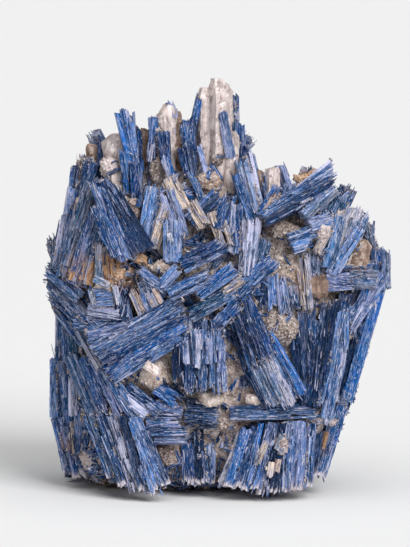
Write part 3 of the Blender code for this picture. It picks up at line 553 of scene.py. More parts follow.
RIGHT_WING = (
    Lath((20, 143, 6), (20, 158.5, 1), 7, 6, 0, "smoky"),
    Lath((27, 141, 10), (28, 160, 3), 7.6, 6, 0, "quartz"),
    Lath((22.8, 138, 13), (23.2, 157, 8), 2.4, 2.4, 0, "steel"),
    Lath((33, 139, 19), (36.6, 152.5, 11), 5.4, 3.6, 0, "blue"),
    Lath((22, 137, 25), (30, 150.5, 18), 4, 3.2, 0, "blue"),
    Lath((23, 136, 28), (29.6, 145.5, 23), 3.6, 2.8, 0, "beige"),
    Lath((30, 140, 25), (57.2, 161.5, 7), 3.6, 3.2, 0, "pale", 0.6, -0.5),
    Lath((21, 135, 31), (57.4, 157.5, 9), 7.4, 5.6, 12, "blue", 0.5, -0.5),
    Lath((24, 131.5, 32), (58, 151.5, 10), 9, 5.6, -6, "ink", 0.5, -0.5),
    Lath((42, 134.5, 25), (59, 148.5, 12), 6, 4.4, 0, "grey"),
    Lath((55.6, 132, 18), (62, 146.5, 9), 7.4, 5.4, 0, "teal"),
    Lath((58, 138, 13), (67, 147, 8), 4.2, 4, 0, "steel"),
    Lath((35, 123, 29), (48.4, 128.6, 23), 6.6, 4.6, 0, "blue"),
    Lath((37, 119, 29), (47, 122, 26), 5.4, 4, 0, "sky"),
    Lath((45, 130.5, 25), (57.5, 134.5, 18), 6.4, 4.6, 0, "ice"),
    Lath((49, 117, 27), (61.6, 138, 16), 4.4, 3.6, 0, "cream"),
    Lath((54, 109, 27), (61, 136.5, 18), 5.6, 3.8, 0, "teal"),
    Lath((60, 118, 18), (66.4, 140, 8), 8, 5.4, 0, "frost"),
    Lath((65, 119, 14), (72.2, 138.5, 4), 8.6, 6.4, 0, "frost", 1, -0.4),
    Lath((55, 106, 28), (71.4, 129, 18), 4.8, 3.6, 10, "sky"),
    Lath((59, 106, 24), (73.4, 130.5, 12), 5, 4, 0, "ink"),
    Lath((66, 103, 20), (71.6, 124, 11), 12, 7, 0, "smoky"),
    Lath((74.6, 104, 12), (73.6, 122, 8), 4.4, 4, 0, "cream"),
    Lath((79, 106, 3), (76.4, 125, 1), 5, 4.4, 0, "steel"),
    Lath((77.4, 119, 3), (73, 132.5, 0), 4.6, 4.4, 0, "grey"),
    Lath((79.8, 98, 3), (80.4, 120, -3), 6.6, 5, 0, "blue"),
    Lath((83.6, 99, 1), (83.8, 118.5, -4), 6, 4.4, 0, "grey", 1, -0.4),
)

LEFT_MIDDLE = (
    Lath((-63, 82, 32), (-83, 104, 7), 9, 6, 0, "grey"),
    Lath((-59, 78, 34), (-82, 97, 9), 9, 6, 0, "steel"),
    Lath((-65, 74, 28), (-79, 91, 9), 8, 5, 0, "blue"),
    Lath((-68, 95, 27), (-83.6, 108, 7), 6.6, 4.6, 0, "steel"),
    Lath((-74, 102, 18), (-83, 111.5, 5), 7.4, 5, 0, "grey"),
    Lath((-68, 102, 25), (-64, 117, 23), 10, 5, 0, "rust", 1.2),
    Lath((-50, 99, 32), (-52, 117, 29), 11, 5, 0, "rust", 0.8),
    Lath((-58, 102, 29), (-57, 122, 27), 6, 4.6, 0, "frost"),
    Lath((-62, 95, 34), (-50.6, 95.5, 36), 8.4, 5, 0, "sky"),
    Lath((-64, 89, 31), (-47, 86, 35), 6.4, 4.6, 0, "pale"),
    Lath((-49.6, 82, 35), (-44.4, 105, 34), 4.4, 4, 0, "ink", 1.3),
    Lath((-44, 82, 36), (-47, 99, 34), 5.4, 3.6, 0, "navy"),
    Lath((-36, 86.6, 38), (-42, 99.4, 36), 6, 4, 0, "beige"),
    Lath((-28.4, 89.5, 39), (-33.4, 98.6, 37), 6.4, 4, 0, "beige"),
    Lath((-30.6, 83, 39), (-37.6, 104, 36), 4.6, 3.4, 0, "navy"),
    Lath((-25, 98.5, 39), (-39, 109.5, 35), 4, 3.4, 0, "blue"),
    Lath((-25, 96.4, 39), (-37, 102.4, 37), 3.6, 3.4, 0, "grey"),
    Lath((-28, 100, 38), (-18.6, 111, 36), 6, 4, 0, "sky"),
    Lath((-71.6, 80.6, 30), (-46, 80.6, 36), 6.4, 4.6, 0, "steel"),
    Lath((-64, 75.4, 34), (-42, 81, 38), 5.4, 4.4, 0, "violet"),
)

MIDDLE = (
    Lath((-24, 95.6, 40), (-2, 106, 38), 7.4, 5, 0, "steel"),
    Lath((3, 92.6, 40), (28.8, 114, 34), 8, 5, 12, "blue"),
    Lath((-9, 96, 40), (10, 110.6, 38), 7, 4.4, 0, "royal", 0.8),
    Lath((-14, 86, 40), (9, 98.6, 40), 7, 5, 0, "teal"),
    Lath((-6, 74, 40), (10, 93, 38), 6.6, 4.6, 0, "blue"),
    Lath((3, 97.4, 41), (12.4, 104, 40), 3.8, 3.6, 0, "cream"),
    Lath((-62, 68.6, 35), (-17, 94, 41), 7.8, 5, 0, "steel"),
    Lath((-57, 63, 36), (-13, 88.6, 41), 7.8, 5, 8, "navy"),
    Lath((-55, 57.6, 37), (-15, 82.4, 41), 6.8, 5, -8, "royal", 0.9),
    Lath((-51.6, 54.4, 37), (-17, 77, 41), 7, 5, 0, "sky", 0.8),
    Lath((-18, 86, 38), (-18.8, 50.6, 44), 7.4, 5, 0, "ink", 0.9),
    Lath((-12, 86, 38), (-12.2, 46.6, 46), 8.2, 5.4, 0, "navy"),
    Lath((-5, 84, 38), (-5, 47.2, 47), 7.6, 5.4, 0, "steel"),
    Lath((0, 80, 37), (1.6, 47, 45), 7.4, 5.4, 14, "blue", 0.9),
    Lath((-5, 62, 46), (-6, 80, 42), 15, 4.4, 0, "sky", 0.9),
    Lath((8, 91.6, 35), (19, 59.6, 42), 12.5, 6.6, 0, "ink", 0.8, 0.2),
    Lath((12.6, 95, 35), (25.4, 64, 42), 9, 5.4, 0, "navy", 0.9),
    Lath((18, 67, 38), (29.6, 40.6, 43), 9, 5.4, 0, "grey"),
    Lath((23, 69, 38), (36, 40.6, 43), 8, 5.4, 0, "pale"),
    Lath((24, 77, 37), (42, 44.6, 42), 7.4, 5, 10, "royal", 1, 0.3),
    Lath((16, 61.6, 37), (26, 40.6, 41), 6.4, 4.6, 0, "blue"),
    Lath((15, 61, 32), (13.4, 49, 35), 5.4, 4.4, 0, "steel"),
    Lath((5.6, 37.6, 41), (50.6, 39.2, 36), 6.4, 5, 0, "steel"),
)

RIGHT = (
    Lath((43.6, 41.4, 37), (40.6, 88, 29), 13, 5.4, 0, "ink", 0.45, 0.5),
    Lath((48, 40.6, 38), (54.6, 94, 27), 14, 5.4, 0, "ink", 0.45, 0.3),
    Lath((64.4, 97, 25), (52, 42, 38), 6, 5.4, 0, "navy"),
    Lath((63.4, 88, 30), (53.8, 32.6, 39), 6.2, 5.4, 10, "sky"),
    Lath((82, 106, 10), (64.6, 79, 29), 7, 5, 0, "violet"),
    Lath((75, 101, 16), (63, 74, 31), 5.4, 4.4, 0, "blue"),
    Lath((65, 79, 28), (57.6, 43, 36), 3.4, 4, 0, "pale"),
    # One wide blade as two laths. Its narrow right edge is painted royal blue as lit, and its face is
    # painted ink-dark as in shadow.
    Lath((84, 107, -2), (63.2, 38, 11), 5.4, 5, 0, "royal"),
    Lath((78.6, 98, -3), (60.4, 37, 10), 9.4, 5, -20, "ink"),
    Lath((62.6, 44, 9), (50.4, 4.4, 22), 6.6, 5, 0, "blue"),
    Lath((54, 102.4, 27), (67.4, 103, 26), 8.6, 6, 0, "violet"),
    Lath((65, 103.6, 24), (79, 103.6, 16), 9.4, 6, 0, "grey"),
    Lath((57, 108.4, 25), (78.4, 110, 15), 3.6, 4, 0, "steel"),
    Lath((44.6, 100.6, 27), (56, 100, 29), 10.4, 7, 0, "smoky"),
    Lath((43.4, 88, 32), (40.4, 117, 25), 3, 3.4, 0, "cream"),
    Lath((46.4, 89, 32), (44.6, 116, 26), 2.8, 3.4, 0, "frost"),
    Lath((48, 105, 27), (48, 118.6, 21), 4.6, 3.6, 0, "grey"),
    Lath((52.4, 105, 26), (50.8, 119, 20), 4.6, 3.6, 0, "frost"),
    Lath((27.6, 105, 28), (28, 87.4, 34), 5.6, 4.4, 0, "royal"),
    Lath((31.4, 107, 28), (33.4, 86, 35), 5, 4.4, 0, "ice"),
    Lath((37.4, 101, 29), (38.4, 88, 34), 6.4, 4.4, 0, "steel"),
    Lath((20, 103, 28), (22, 89, 32), 8, 5, 0, "ink"),
)

LEFT_LOWER = (
    Lath((-80.4, 34, 3), (-80.8, 65, 2), 6.2, 5, 0, "sky"),
    Lath((-75, 45, 10), (-76.4, 63.4, 9), 6, 4.4, 0, "blue"),
    Lath((-78, 62, -1), (-77.6, 93, 0), 6, 4.4, 0, "steel"),
    Lath((-73.6, 62, 8), (-74.6, 90, 9), 6.6, 4.4, 0, "blue"),
    Lath((-70, 58, 16), (-71.4, 81, 15), 6.6, 4.6, 0, "teal"),
    Lath((-71, 36, 13), (-70.6, 58, 15), 6.4, 4.6, 0, "pale"),
    Lath((-69.4, 39, 12), (-68.2, 16.6, 12), 4.4, 4, 0, "sky"),
    Lath((-79.4, 35, 3), (-73.6, 7, 4), 7.6, 6, 0, "blue"),
    Lath((-75, 31, 7), (-68.4, 5, 7), 7, 6, 10, "navy"),
    Lath((-72, 33, 9), (-70.6, 17, 9), 3.4, 4, 0, "cream"),
    Lath((-72, 66, 17), (-60, 36, 28), 8.4, 5.4, 8, "teal", 0.8),
    Lath((-67, 65, 24), (-53.6, 36, 33), 8.4, 5.4, 0, "blue", 0.8),
    Lath((-61, 65, 30), (-46, 36, 37), 8.4, 5, 0, "violet", 0.8),
    Lath((-56, 60, 34), (-39, 34, 39), 7.4, 5, 0, "steel", 0.8),
    Lath((-67, 80, 26), (-55.4, 60, 33), 7.4, 5, 0, "frost"),
    Lath((-63.4, 38, 26), (-50.6, 6, 37), 7.4, 5.4, 0, "teal", 0.9),
    Lath((-57.6, 37, 31), (-45, 0.4, 41), 6.8, 5.4, 0, "steel", 0.9),
    Lath((-52, 37, 35), (-40, -1, 43), 7, 5.4, 8, "pale", 0.9),
    Lath((-46.4, 37, 38), (-34.6, -2, 45), 7, 5.4, -8, "ink", 0.9),
    Lath((-41.4, 36, 39), (-29, -3.6, 46), 7, 5.4, 0, "sky", 0.9),
    Lath((-36.4, 29, 40), (-26, 1, 45), 6.4, 5, 10, "royal", 0.9),
)

FOOT = (
    Lath((-35.6, 28.6, 38), (-14.6, 28.4, 40), 4.8, 4.4, 0, "blue"),
    Lath((-31, 24.4, 37), (-14.6, 24.6, 39), 4.4, 4.4, 0, "ice"),
    Lath((-35, 33.4, 37), (-16.6, 32.6, 40), 5, 4.4, 0, "violet"),
    Lath((-15.6, 39.4, 36), (1.6, 37.6, 40), 11.6, 6, 0, "steel"),
    Lath((-9, 32.6, 36), (9, 32, 38), 4.8, 4.4, 0, "grey"),
    Lath((-29.4, 50.6, 36), (-18.4, 42.4, 40), 7, 5.4, 0, "royal"),
    Lath((-45, 50.4, 36), (-27.6, 37, 40), 6.4, 4.6, 0, "blue"),
    Lath((-48, 46.6, 36), (-34, 36.6, 39), 5.4, 4.4, 0, "pale"),
    Lath((-30, 40, 37), (-16.6, 38, 39), 6, 4.4, 0, "violet"),
    Lath((-13.6, 23, 31), (-13, 1.6, 33), 8.4, 5.4, 0, "navy"),
    Lath((-9, 30, 33), (-8.6, 2.4, 35), 4.6, 4.4, 0, "ink"),
    Lath((-4.6, 22, 31), (-4.6, 1.6, 33), 6.6, 5.4, 0, "steel"),
    Lath((12.4, 28, 36), (1.6, 0.4, 41), 3.8, 4.4, 0, "frost"),
    Lath((15, 30, 37), (5.6, 0.4, 43), 6, 5, 0, "royal"),
    Lath((20, 31, 37), (11, -1, 44), 6.2, 5, 8, "navy"),
    Lath((24, 32, 38), (17, -2, 45), 6.2, 5, 0, "royal"),
    Lath((27.6, 33, 38), (22.6, -3.6, 45), 5.4, 5, -8, "violet"),
    Lath((31.4, 33, 38), (28, -2.4, 45), 6, 5, 0, "ink"),
    Lath((35.6, 34, 37), (34, -1.6, 43), 6, 5, 8, "blue"),
    Lath((40.6, 34, 36), (39, -1, 41), 6.6, 5, 0, "violet"),
    Lath((46, 33, 34), (43.6, 0, 38), 6.6, 5, 0, "sky"),
    Lath((50, 28, 28), (46.6, 4, 31), 5, 5, 0, "ink"),
)

# The sides and back, which the front view hides, are clad by a rule with sprays of like laths.
CLAD_SEED = 11
CLAD_ROWS = ((15, 8), (37, 9), (60, 9), (83, 9), (105, 9), (125, 8), (143, 6), (156, 4))
CLAD_LENGTHS = (34, 62)
CLAD_WIDTHS = (6.5, 8.4)
CLAD_TONES = ("navy", "steel", "blue", "pale", "royal", "grey", "sky", "ink", "violet", "teal")
CLAD_LEAN = (1, 13)
CLAD_SLOPES = (35, 60, 75, 90, 110, 130, 150)
CLAD_SLOPE_WANDER = 9
CLAD_ROLL = 14
CLAD_THICKNESS = 0.6
FRONT_SHARE = 0.22

# A lath is a few crystals side by side, each with its own turn in radians and its own lift in mm.
CRYSTAL_WIDTHS = (2.2, 6.5)
CRYSTAL_TURNS = {"Y": 0.014, "X": 0.012, "Z": 0.16}
CRYSTAL_LIFT = 0.6
CRYSTAL_SHORTFALL = 0.03
# Shares of blue crystals that are painted paler as if lit, and painted darker as if in shade.
PAINTED_LIT_CRYSTALS = 0.24
PAINTED_SHADED_CRYSTALS = 0.16

# A crystal is a row of strips. Each runs on for some mm, breaks, and goes on a little higher or lower.
STRIP_WIDTHS = (0.5, 1.9)
SMOOTH_STRIP_WIDTHS = (0.9, 3.6)
STRIP_RUNS = (7, 45)
RING_PITCH = 8
CHAMFER = 0.22
GROOVES = (0.25, 0.8)
GROOVED_STRIPS = 0.06
SHORT_STRIPS = 0.04
PALE_STRIPS = 0.045

# Broken plates and splinters lie on a lath's face. A plate's length is a share of its blade's.
PLATE_LENGTHS = (0.12, 0.45)
PLATES_PER_CM2 = 1.6
SPLINTER_LENGTHS = (1.5, 12, 3)
SPLINTERS_PER_CM2 = 15

# How chalky the ends are: at the foot, at other tips, at glassy tips, at roots and where a strip breaks.
WORN_BELOW = 12
FOOT_WEAR = 0.75
TIP_WEAR = 0.5
GLASSY_WEAR = 0.3
ROOT_WEAR = 0.35
BREAK_WEAR = 0.1
GLASSY = ("crown_blades", "crown_back_blades")

# Small broken blades that lie on the big ones, each on its own.
ODD_BLADES = (
    Lath((24.6, 24, 42.4), (19.6, 12.6, 45), 3.2, 2.4, 0, "cream"),
    Lath((21.6, 20, 43.4), (18.4, 11, 45.4), 2.2, 2, 0, "frost"),
    Lath((27, 13.6, 45), (26, 5.4, 46.4), 2.8, 2.2, 0, "cream"),
    Lath((30.4, 15, 45), (29.4, 7.6, 46), 2.6, 2.2, 0, "beige"),
    Lath((33, 26.4, 42), (29.6, 17.4, 44), 4.6, 2, 0, "frost"),
    # A painted highlight: a thin pale blade laid as a white glint line on the crown blade beneath it.
    Lath((-31.8, 171, 10.4), (-33.6, 161.6, 11.4), 1.6, 1.4, 0, "pale"),
    Lath((-15, 62, 49), (-16, 74, 47), 2.6, 2, 0, "ice"),
    Lath((-9.6, 60, 50), (-9, 78, 46.4), 2.4, 2, 0, "pale"),
    Lath((-4, 62, 50), (-4.4, 76, 47), 3, 2, 0, "ice"),
    Lath((1, 58, 49), (2.4, 72, 46.4), 2.4, 2, 0, "violet"),
    Lath((-35.6, 62.4, 44.6), (-27.6, 57, 45), 4.4, 2, 0, "quartz"),
    Lath((-61, 104.4, 38), (-53, 100.6, 39), 3.4, 2, 0, "frost"),
    Lath((-50.6, 101, 38.6), (-48.4, 91, 39), 2.8, 2, 0, "frost"),
    Lath((-63, 99.4, 37), (-61, 90.6, 38), 3, 2, 0, "frost"),
    Lath((78, 95, 9), (77.4, 90.4, 10), 3, 2, 0, "frost"),
    Lath((-24, 126.6, 40), (-22.4, 122, 41), 2.4, 1.4, 0, "frost"),
    Lath((54.6, 28, 26), (52, 19, 27), 2.4, 1.6, 0, "rust"),
)
SMOOTH_TONES = ("ink", "navy", "royal")
QUARTZ_TONES = ("quartz", "smoky")


class Strips:
    """Collects strips, in mm, for one piece."""

    def __init__(self):
        self.points, self.faces, self.uvs, self.tones, self.broken = [], [], [], [], []
        self.count = 0

    def add(self, points, faces, uvs, tone, broken):
        self.points.append(points)
        self.faces += [[corner + self.count for corner in face] for face in faces]
        self.uvs.append(uvs)
        self.tones.append(tone)
        self.broken.append(broken + np.zeros(len(points)))
        self.count += len(points)

    def piece(self, name):
        points = np.concatenate(self.points)
        if not name.startswith("chip"):
            points = kept_inside(points)
        tones = np.concatenate(self.tones)
        broken = np.concatenate(self.broken)
        uvs = np.concatenate(self.uvs)
        return to_mesh(name, points, self.faces, uvs, tones, stain_at(points), broken)


def turned(root, tip, facing, roll):
    """Axes of a lath: across it, away from its flat face, and along it, as a matrix's columns."""
    along = (tip - root).normalized()
    across = along.cross(facing).normalized()
    away = across.cross(along) * -1
    axes = Matrix((across, away, along)).transposed()
    return np.array(axes @ Matrix.Rotation(math.radians(roll), 3, "Z"))


def section(wide, thick, tilt):
    """A strip's cross-section: a rectangle with its corners taken off, its faces tilted a little."""
    cut = min(CHAMFER, wide * 0.3, thick * 0.3)
    x, y = wide / 2, thick / 2
    corners = [(-x, -y + cut), (cut - x, -y), (x - cut, -y), (x, -y + cut), (x, y), (-x, y)]
    if thick < 0.9:
        corners = [(-x, -y), (x, -y), (x * 0.8, y), (-x * 0.8, y)]
    flat = np.array(corners)
    flat[:, 1] += flat[:, 0] * tilt
    return flat


def add_strip(
    strips, steady, root, axes, span, side, depth, wide, thick, tone, point,
    fan=1, ends=(0, 0.12), bow=(0, 0), shift=None,
):
    """One ridge of a blade: a rod that wavers a little and ends in a slanting break.

    Ends says how worn it is at its start and at its tip, bow how far its blade's middle is bent, and
    shift where its blade lies on the map that the streaks follow.
    """
    start, end, length = span
    count = max(2, int((end - start) / RING_PITCH) + 2)
    along = np.linspace(start, end, count)
    along[1:-1] += [steady.uniform(-0.25, 0.25) * RING_PITCH for _ in range(count - 2)]
    flat = section(wide, thick, math.tan(math.radians(steady.gauss(0, 5))))
    corners = len(flat)
    taper = steady.uniform(*point)
    slants = (steady.gauss(0, 0.5), steady.gauss(0, 0.7))
    points = np.empty((count, corners, 3))
    for row in range(count):
        share = fan + (1 - fan) * min(along[row] / length, 1)
        swell = (steady.uniform(0.95, 1.05), steady.uniform(0.98, 1.02))
        if row == count - 1:
            swell = (swell[0] * taper, swell[1] * taper ** 0.4)
        way = along[row] / length
        bend = 4 * way * (1 - way)
        points[row, :, 0] = (flat[:, 0] * swell[0] + side) * share + steady.gauss(0, 0.05)
        points[row, :, 0] += bow[0] * bend
        points[row, :, 1] = flat[:, 1] * swell[1] + depth + bow[1] * bend + steady.gauss(0, 0.04)
        points[row, :, 2] = along[row]
    points[-1, :, 2] += flat[:, 0] * slants[1]
    points[0, :, 2] += flat[:, 0] * slants[0]
    rod = points.reshape(-1, 3)
    shift = shift or (steady.uniform(0, 400), steady.uniform(0, 400))
    uvs = np.stack((rod[:, 0] + rod[:, 1], rod[:, 2]), axis=1) + shift
    world = rod @ axes.T + root
    ring = range(corners)
    faces = [
        (
            row * corners + k,
            row * corners + (k + 1) % corners,
            (row + 1) * corners + (k + 1) % corners,
            (row + 1) * corners + k,
        )
        for row in range(count - 1)
        for k in ring
    ]
    worn = np.zeros(len(world))
    # Its two side corners are marked part way chalky, so pale flecks run along its long edges.
    if corners == 6:
        worn[0::6], worn[3::6] = 0.4, 0.4
    worn[:corners], worn[-corners:] = ends
    strips.add(world, faces, uvs, np.tile(tone, (len(world), 1)), worn)
    pale = np.tile(tone * 0.7 + np.array(TONES["pale"]) * 0.3, (corners, 1))
    strips.add(world[-corners:], [tuple(ring)], uvs[-corners:], pale, ends[1])
    strips.add(world[:corners], [tuple(reversed(ring))], uvs[:corners], pale, ends[0])


def strip_tone(base, steady, pale_share=PALE_STRIPS):
    """A strip's own shade of its blade's tone: some run pale, some run nearly black."""
    tone = np.array(base) * steady.uniform(0.82, 1.2)
    draw = steady.random()
    if base[0] > base[2]:
        return tone * (0.5 if draw > 0.8 else 1)
    if draw < pale_share:
        return tone * 0.4 + np.array(TONES["pale"]) * steady.uniform(0.5, 0.95)
    if draw < pale_share * 2.4:
        return tone * 0.5 + np.array(TONES["ice"]) * 0.55
    if draw > 0.94:
        return tone * 0.3 + np.array(TONES["ink"]) * 0.4
    if draw > 0.84:
        return tone * 0.5 + np.array(TONES["royal"]) * 0.4
    return tone


def end_of(shape, offset, slope, peak):
    """How far short of its blade's end a strip stops, in mm, by its place across the crystal."""
    if shape == "point":
        return abs(offset - peak) * abs(slope) * 1.6
    if shape == "slant":
        return max(0.0, (offset - peak) * slope + abs(slope))
    return 0.0


def tipped(steady, turns):
    """A small random turn, from how far it wanders about each axis in radians."""
    swing = Matrix.Identity(3)
    for axis, wander in turns.items():
        swing = swing @ Matrix.Rotation(steady.gauss(0, wander), 3, axis)
    return np.array(swing)


def crystal_shade(base, steady):
    """One crystal's own shade of its blade's tone. Some blue ones are painted paler, as if their faces
    caught the light, and some painted darker, as if turned from it.
    """
    shade = base * steady.uniform(0.7, 1.35)
    draw = steady.random()
    # Painted highlight: mixed towards ice as if the crystal's face caught the light.
    if base[0] < base[2] and draw < PAINTED_LIT_CRYSTALS:
        paler = 0.4 * min(1, base[2] / 0.2)
        return shade * (1 - paler) + np.array(TONES["ice"]) * paler
    # Painted shade: mixed towards navy as if the crystal's face were turned from the light.
    if base[0] < base[2] and draw > 1 - PAINTED_SHADED_CRYSTALS:
        return shade * 0.5 + np.array(TONES["navy"]) * 0.5
    return shade


def add_crystal(strips, steady, start_at, axes, length, lath, place, calm, end_wear):
    """One crystal of a lath: strips that turn and bow as one, and that end along one break.

    Place is its left edge and its width, in mm across the lath.
    """
    edge, crystal = place
    middle = edge + crystal / 2
    turns = {**CRYSTAL_TURNS, "Z": CRYSTAL_TURNS["Z"] * calm}
    own_axes = axes @ tipped(steady, turns)
    own_start = start_at + axes @ np.array((middle, 0, length / 2))
    own_start = own_start - own_axes @ np.array((middle, 0, length / 2))
    lift = steady.gauss(0, CRYSTAL_LIFT) * calm
    short = abs(steady.gauss(0, CRYSTAL_SHORTFALL)) * length
    shape = steady.choice(("slant", "slant", "point", "point", "square"))
    slope, peak = steady.gauss(0, 0.65), middle + steady.uniform(-0.5, 0.5) * crystal
    shade = crystal_shade(np.array(TONES[lath.tone]), steady)
    bow = (steady.gauss(0, 0.012) * length, steady.gauss(0, 0.006) * length)
    shift = (steady.uniform(0, 400), steady.uniform(0, 400))
    widths = SMOOTH_STRIP_WIDTHS if calm < 1 else STRIP_WIDTHS
    side = edge
    step = 0.0
    while side < edge + crystal - 0.15:
        wide = min(steady.triangular(*widths, widths[0] * 1.5), edge + crystal - side + 0.2)
        step = 0.6 * step + steady.gauss(0, 0.07) * calm
        groove = steady.uniform(*GROOVES) if steady.random() < GROOVED_STRIPS else 0.0
        offset = side + wide / 2
        rim = abs(offset) / (lath.wide / 2)
        thick = lath.thick * (1.02 - 0.32 * rim ** 2) - groove
        cut = short + end_of(shape, offset, slope, peak) + abs(steady.gauss(0, 0.25))
        if steady.random() < SHORT_STRIPS:
            cut += steady.uniform(1, 5)
        reach = length + lath.cut * offset - cut
        start = length * abs(steady.gauss(0, 0.015))
        tone = strip_tone(shade, steady, PALE_STRIPS * calm)
        while start < reach:
            stop = start + steady.uniform(*STRIP_RUNS) / calm
            if reach - stop < 4:
                stop = reach
            ends = (ROOT_WEAR if start < 4 else BREAK_WEAR, end_wear if stop == reach else BREAK_WEAR)
            add_strip(
                strips, steady, own_start, own_axes, (start, stop, length), offset, step + lift,
                wide * 1.12, thick, tone, (0.8, 1), lath.fan, ends, bow, shift,
            )
            if steady.random() < 0.4:
                tone = strip_tone(shade, steady, PALE_STRIPS * calm)
            step += steady.gauss(0, 0.16) * calm
            start = stop
        side += wide


def add_blade(strips, steady, root, tip, facing, lath, glassy):
    """A lath: a few crystals side by side, with plates and splinters on its face."""
    axes = turned(root, tip, facing, lath.roll)
    length = (tip - root).length
    start_at = np.array(root)
    calm = 0.45 if glassy else 0.5 if lath.tone in SMOOTH_TONES else 1.0
    tip_wear = GLASSY_WEAR if glassy else TIP_WEAR
    end_wear = FOOT_WEAR if tip[2] < WORN_BELOW else tip_wear
    edge = -lath.wide / 2
    while edge < lath.wide / 2 - 0.8:
        crystal = min(steady.uniform(*CRYSTAL_WIDTHS), lath.wide / 2 - edge)
        add_crystal(strips, steady, start_at, axes, length, lath, (edge, crystal), calm, end_wear)
        edge += crystal
    add_plates(strips, steady, start_at, axes, length, lath, calm)
    add_splinters(strips, steady, start_at, axes, length, lath, 0.2 if glassy else calm)


def add_plates(strips, steady, start_at, axes, length, lath, calm):
    """Broken plates that lie on a blade's face, each of one to three short strips."""
    base = np.array(TONES[lath.tone])
    for _ in range(int(lath.wide * length / 100 * PLATES_PER_CM2 * calm) + 1):
        share = steady.uniform(*PLATE_LENGTHS)
        start = steady.uniform(0, 1 - share) * length
        middle = steady.uniform(-0.42, 0.36) * lath.wide
        own_axes = axes @ tipped(steady, {"Y": 0.07})
        fan = lath.fan + (1 - lath.fan) * (start / length + share / 2)
        own_start = start_at + axes @ np.array((middle * fan, -lath.thick / 2, start))
        for hand in range(steady.choice((1, 2, 3))):
            wide = steady.uniform(0.4, 1.5)
            reach = length * share * steady.uniform(0.6, 1)
            add_strip(
                strips, steady, own_start, own_axes, (0, reach, reach), hand * wide * 0.9,
                steady.gauss(0, 0.1), wide, steady.uniform(0.5, 1.5),
                strip_tone(base, steady, 0.1), (0.1, 0.8),
            )


def add_splinters(strips, steady, start_at, axes, length, lath, calm):
    """Fine splinters that lift off a blade's face, most of them pale where the light gets under."""
    base = np.array(TONES[lath.tone])
    for _ in range(int(lath.wide * length / 100 * SPLINTERS_PER_CM2 * calm)):
        start = steady.uniform(0, 0.97) * length
        fan = lath.fan + (1 - lath.fan) * start / length
        across = steady.uniform(-0.48, 0.48) * lath.wide
        rim = abs(across) / (lath.wide / 2)
        depth = -lath.thick * (0.51 - 0.16 * rim ** 2)
        reach = min(steady.triangular(*SPLINTER_LENGTHS), length * 1.01 - start)
        own_axes = axes @ tipped(steady, {"Y": 0.06, "X": 0.04})
        place = start_at + axes @ np.array((across * fan, depth, start))
        tone = strip_tone(base, steady, 0.26 * calm)
        if base[0] > base[2] and steady.random() < 0.3:
            tone = strip_tone(TONES["violet"], steady, 0.2)
        add_strip(
            strips, steady, place, own_axes, (0, reach, reach), 0, 0,
            steady.triangular(0.2, 0.9, 0.35), steady.uniform(0.3, 0.8), tone, (0.1, 0.6),
        )


# Near-white flecks laid on blue blades: painted glints.
PAINTED_GLINTS_ON_BLUE_BLADES = (0.9, 0.87, 0.94)
PALE_BLADE_FLECKS = (0.8, 0.74, 0.7)
BLUE_ZONES_OF_PALE_BLADES = (0.3, 0.32, 0.46)
# Near-black blue for dark flecks: painted shade in the gaps between fibres and strips.
PAINTED_GAP_SHADE = (0.002, 0.013, 0.045)
CHALK = (0.62, 0.57, 0.62)
RUST_ON_BLADES = (0.5, 0.29, 0.14)


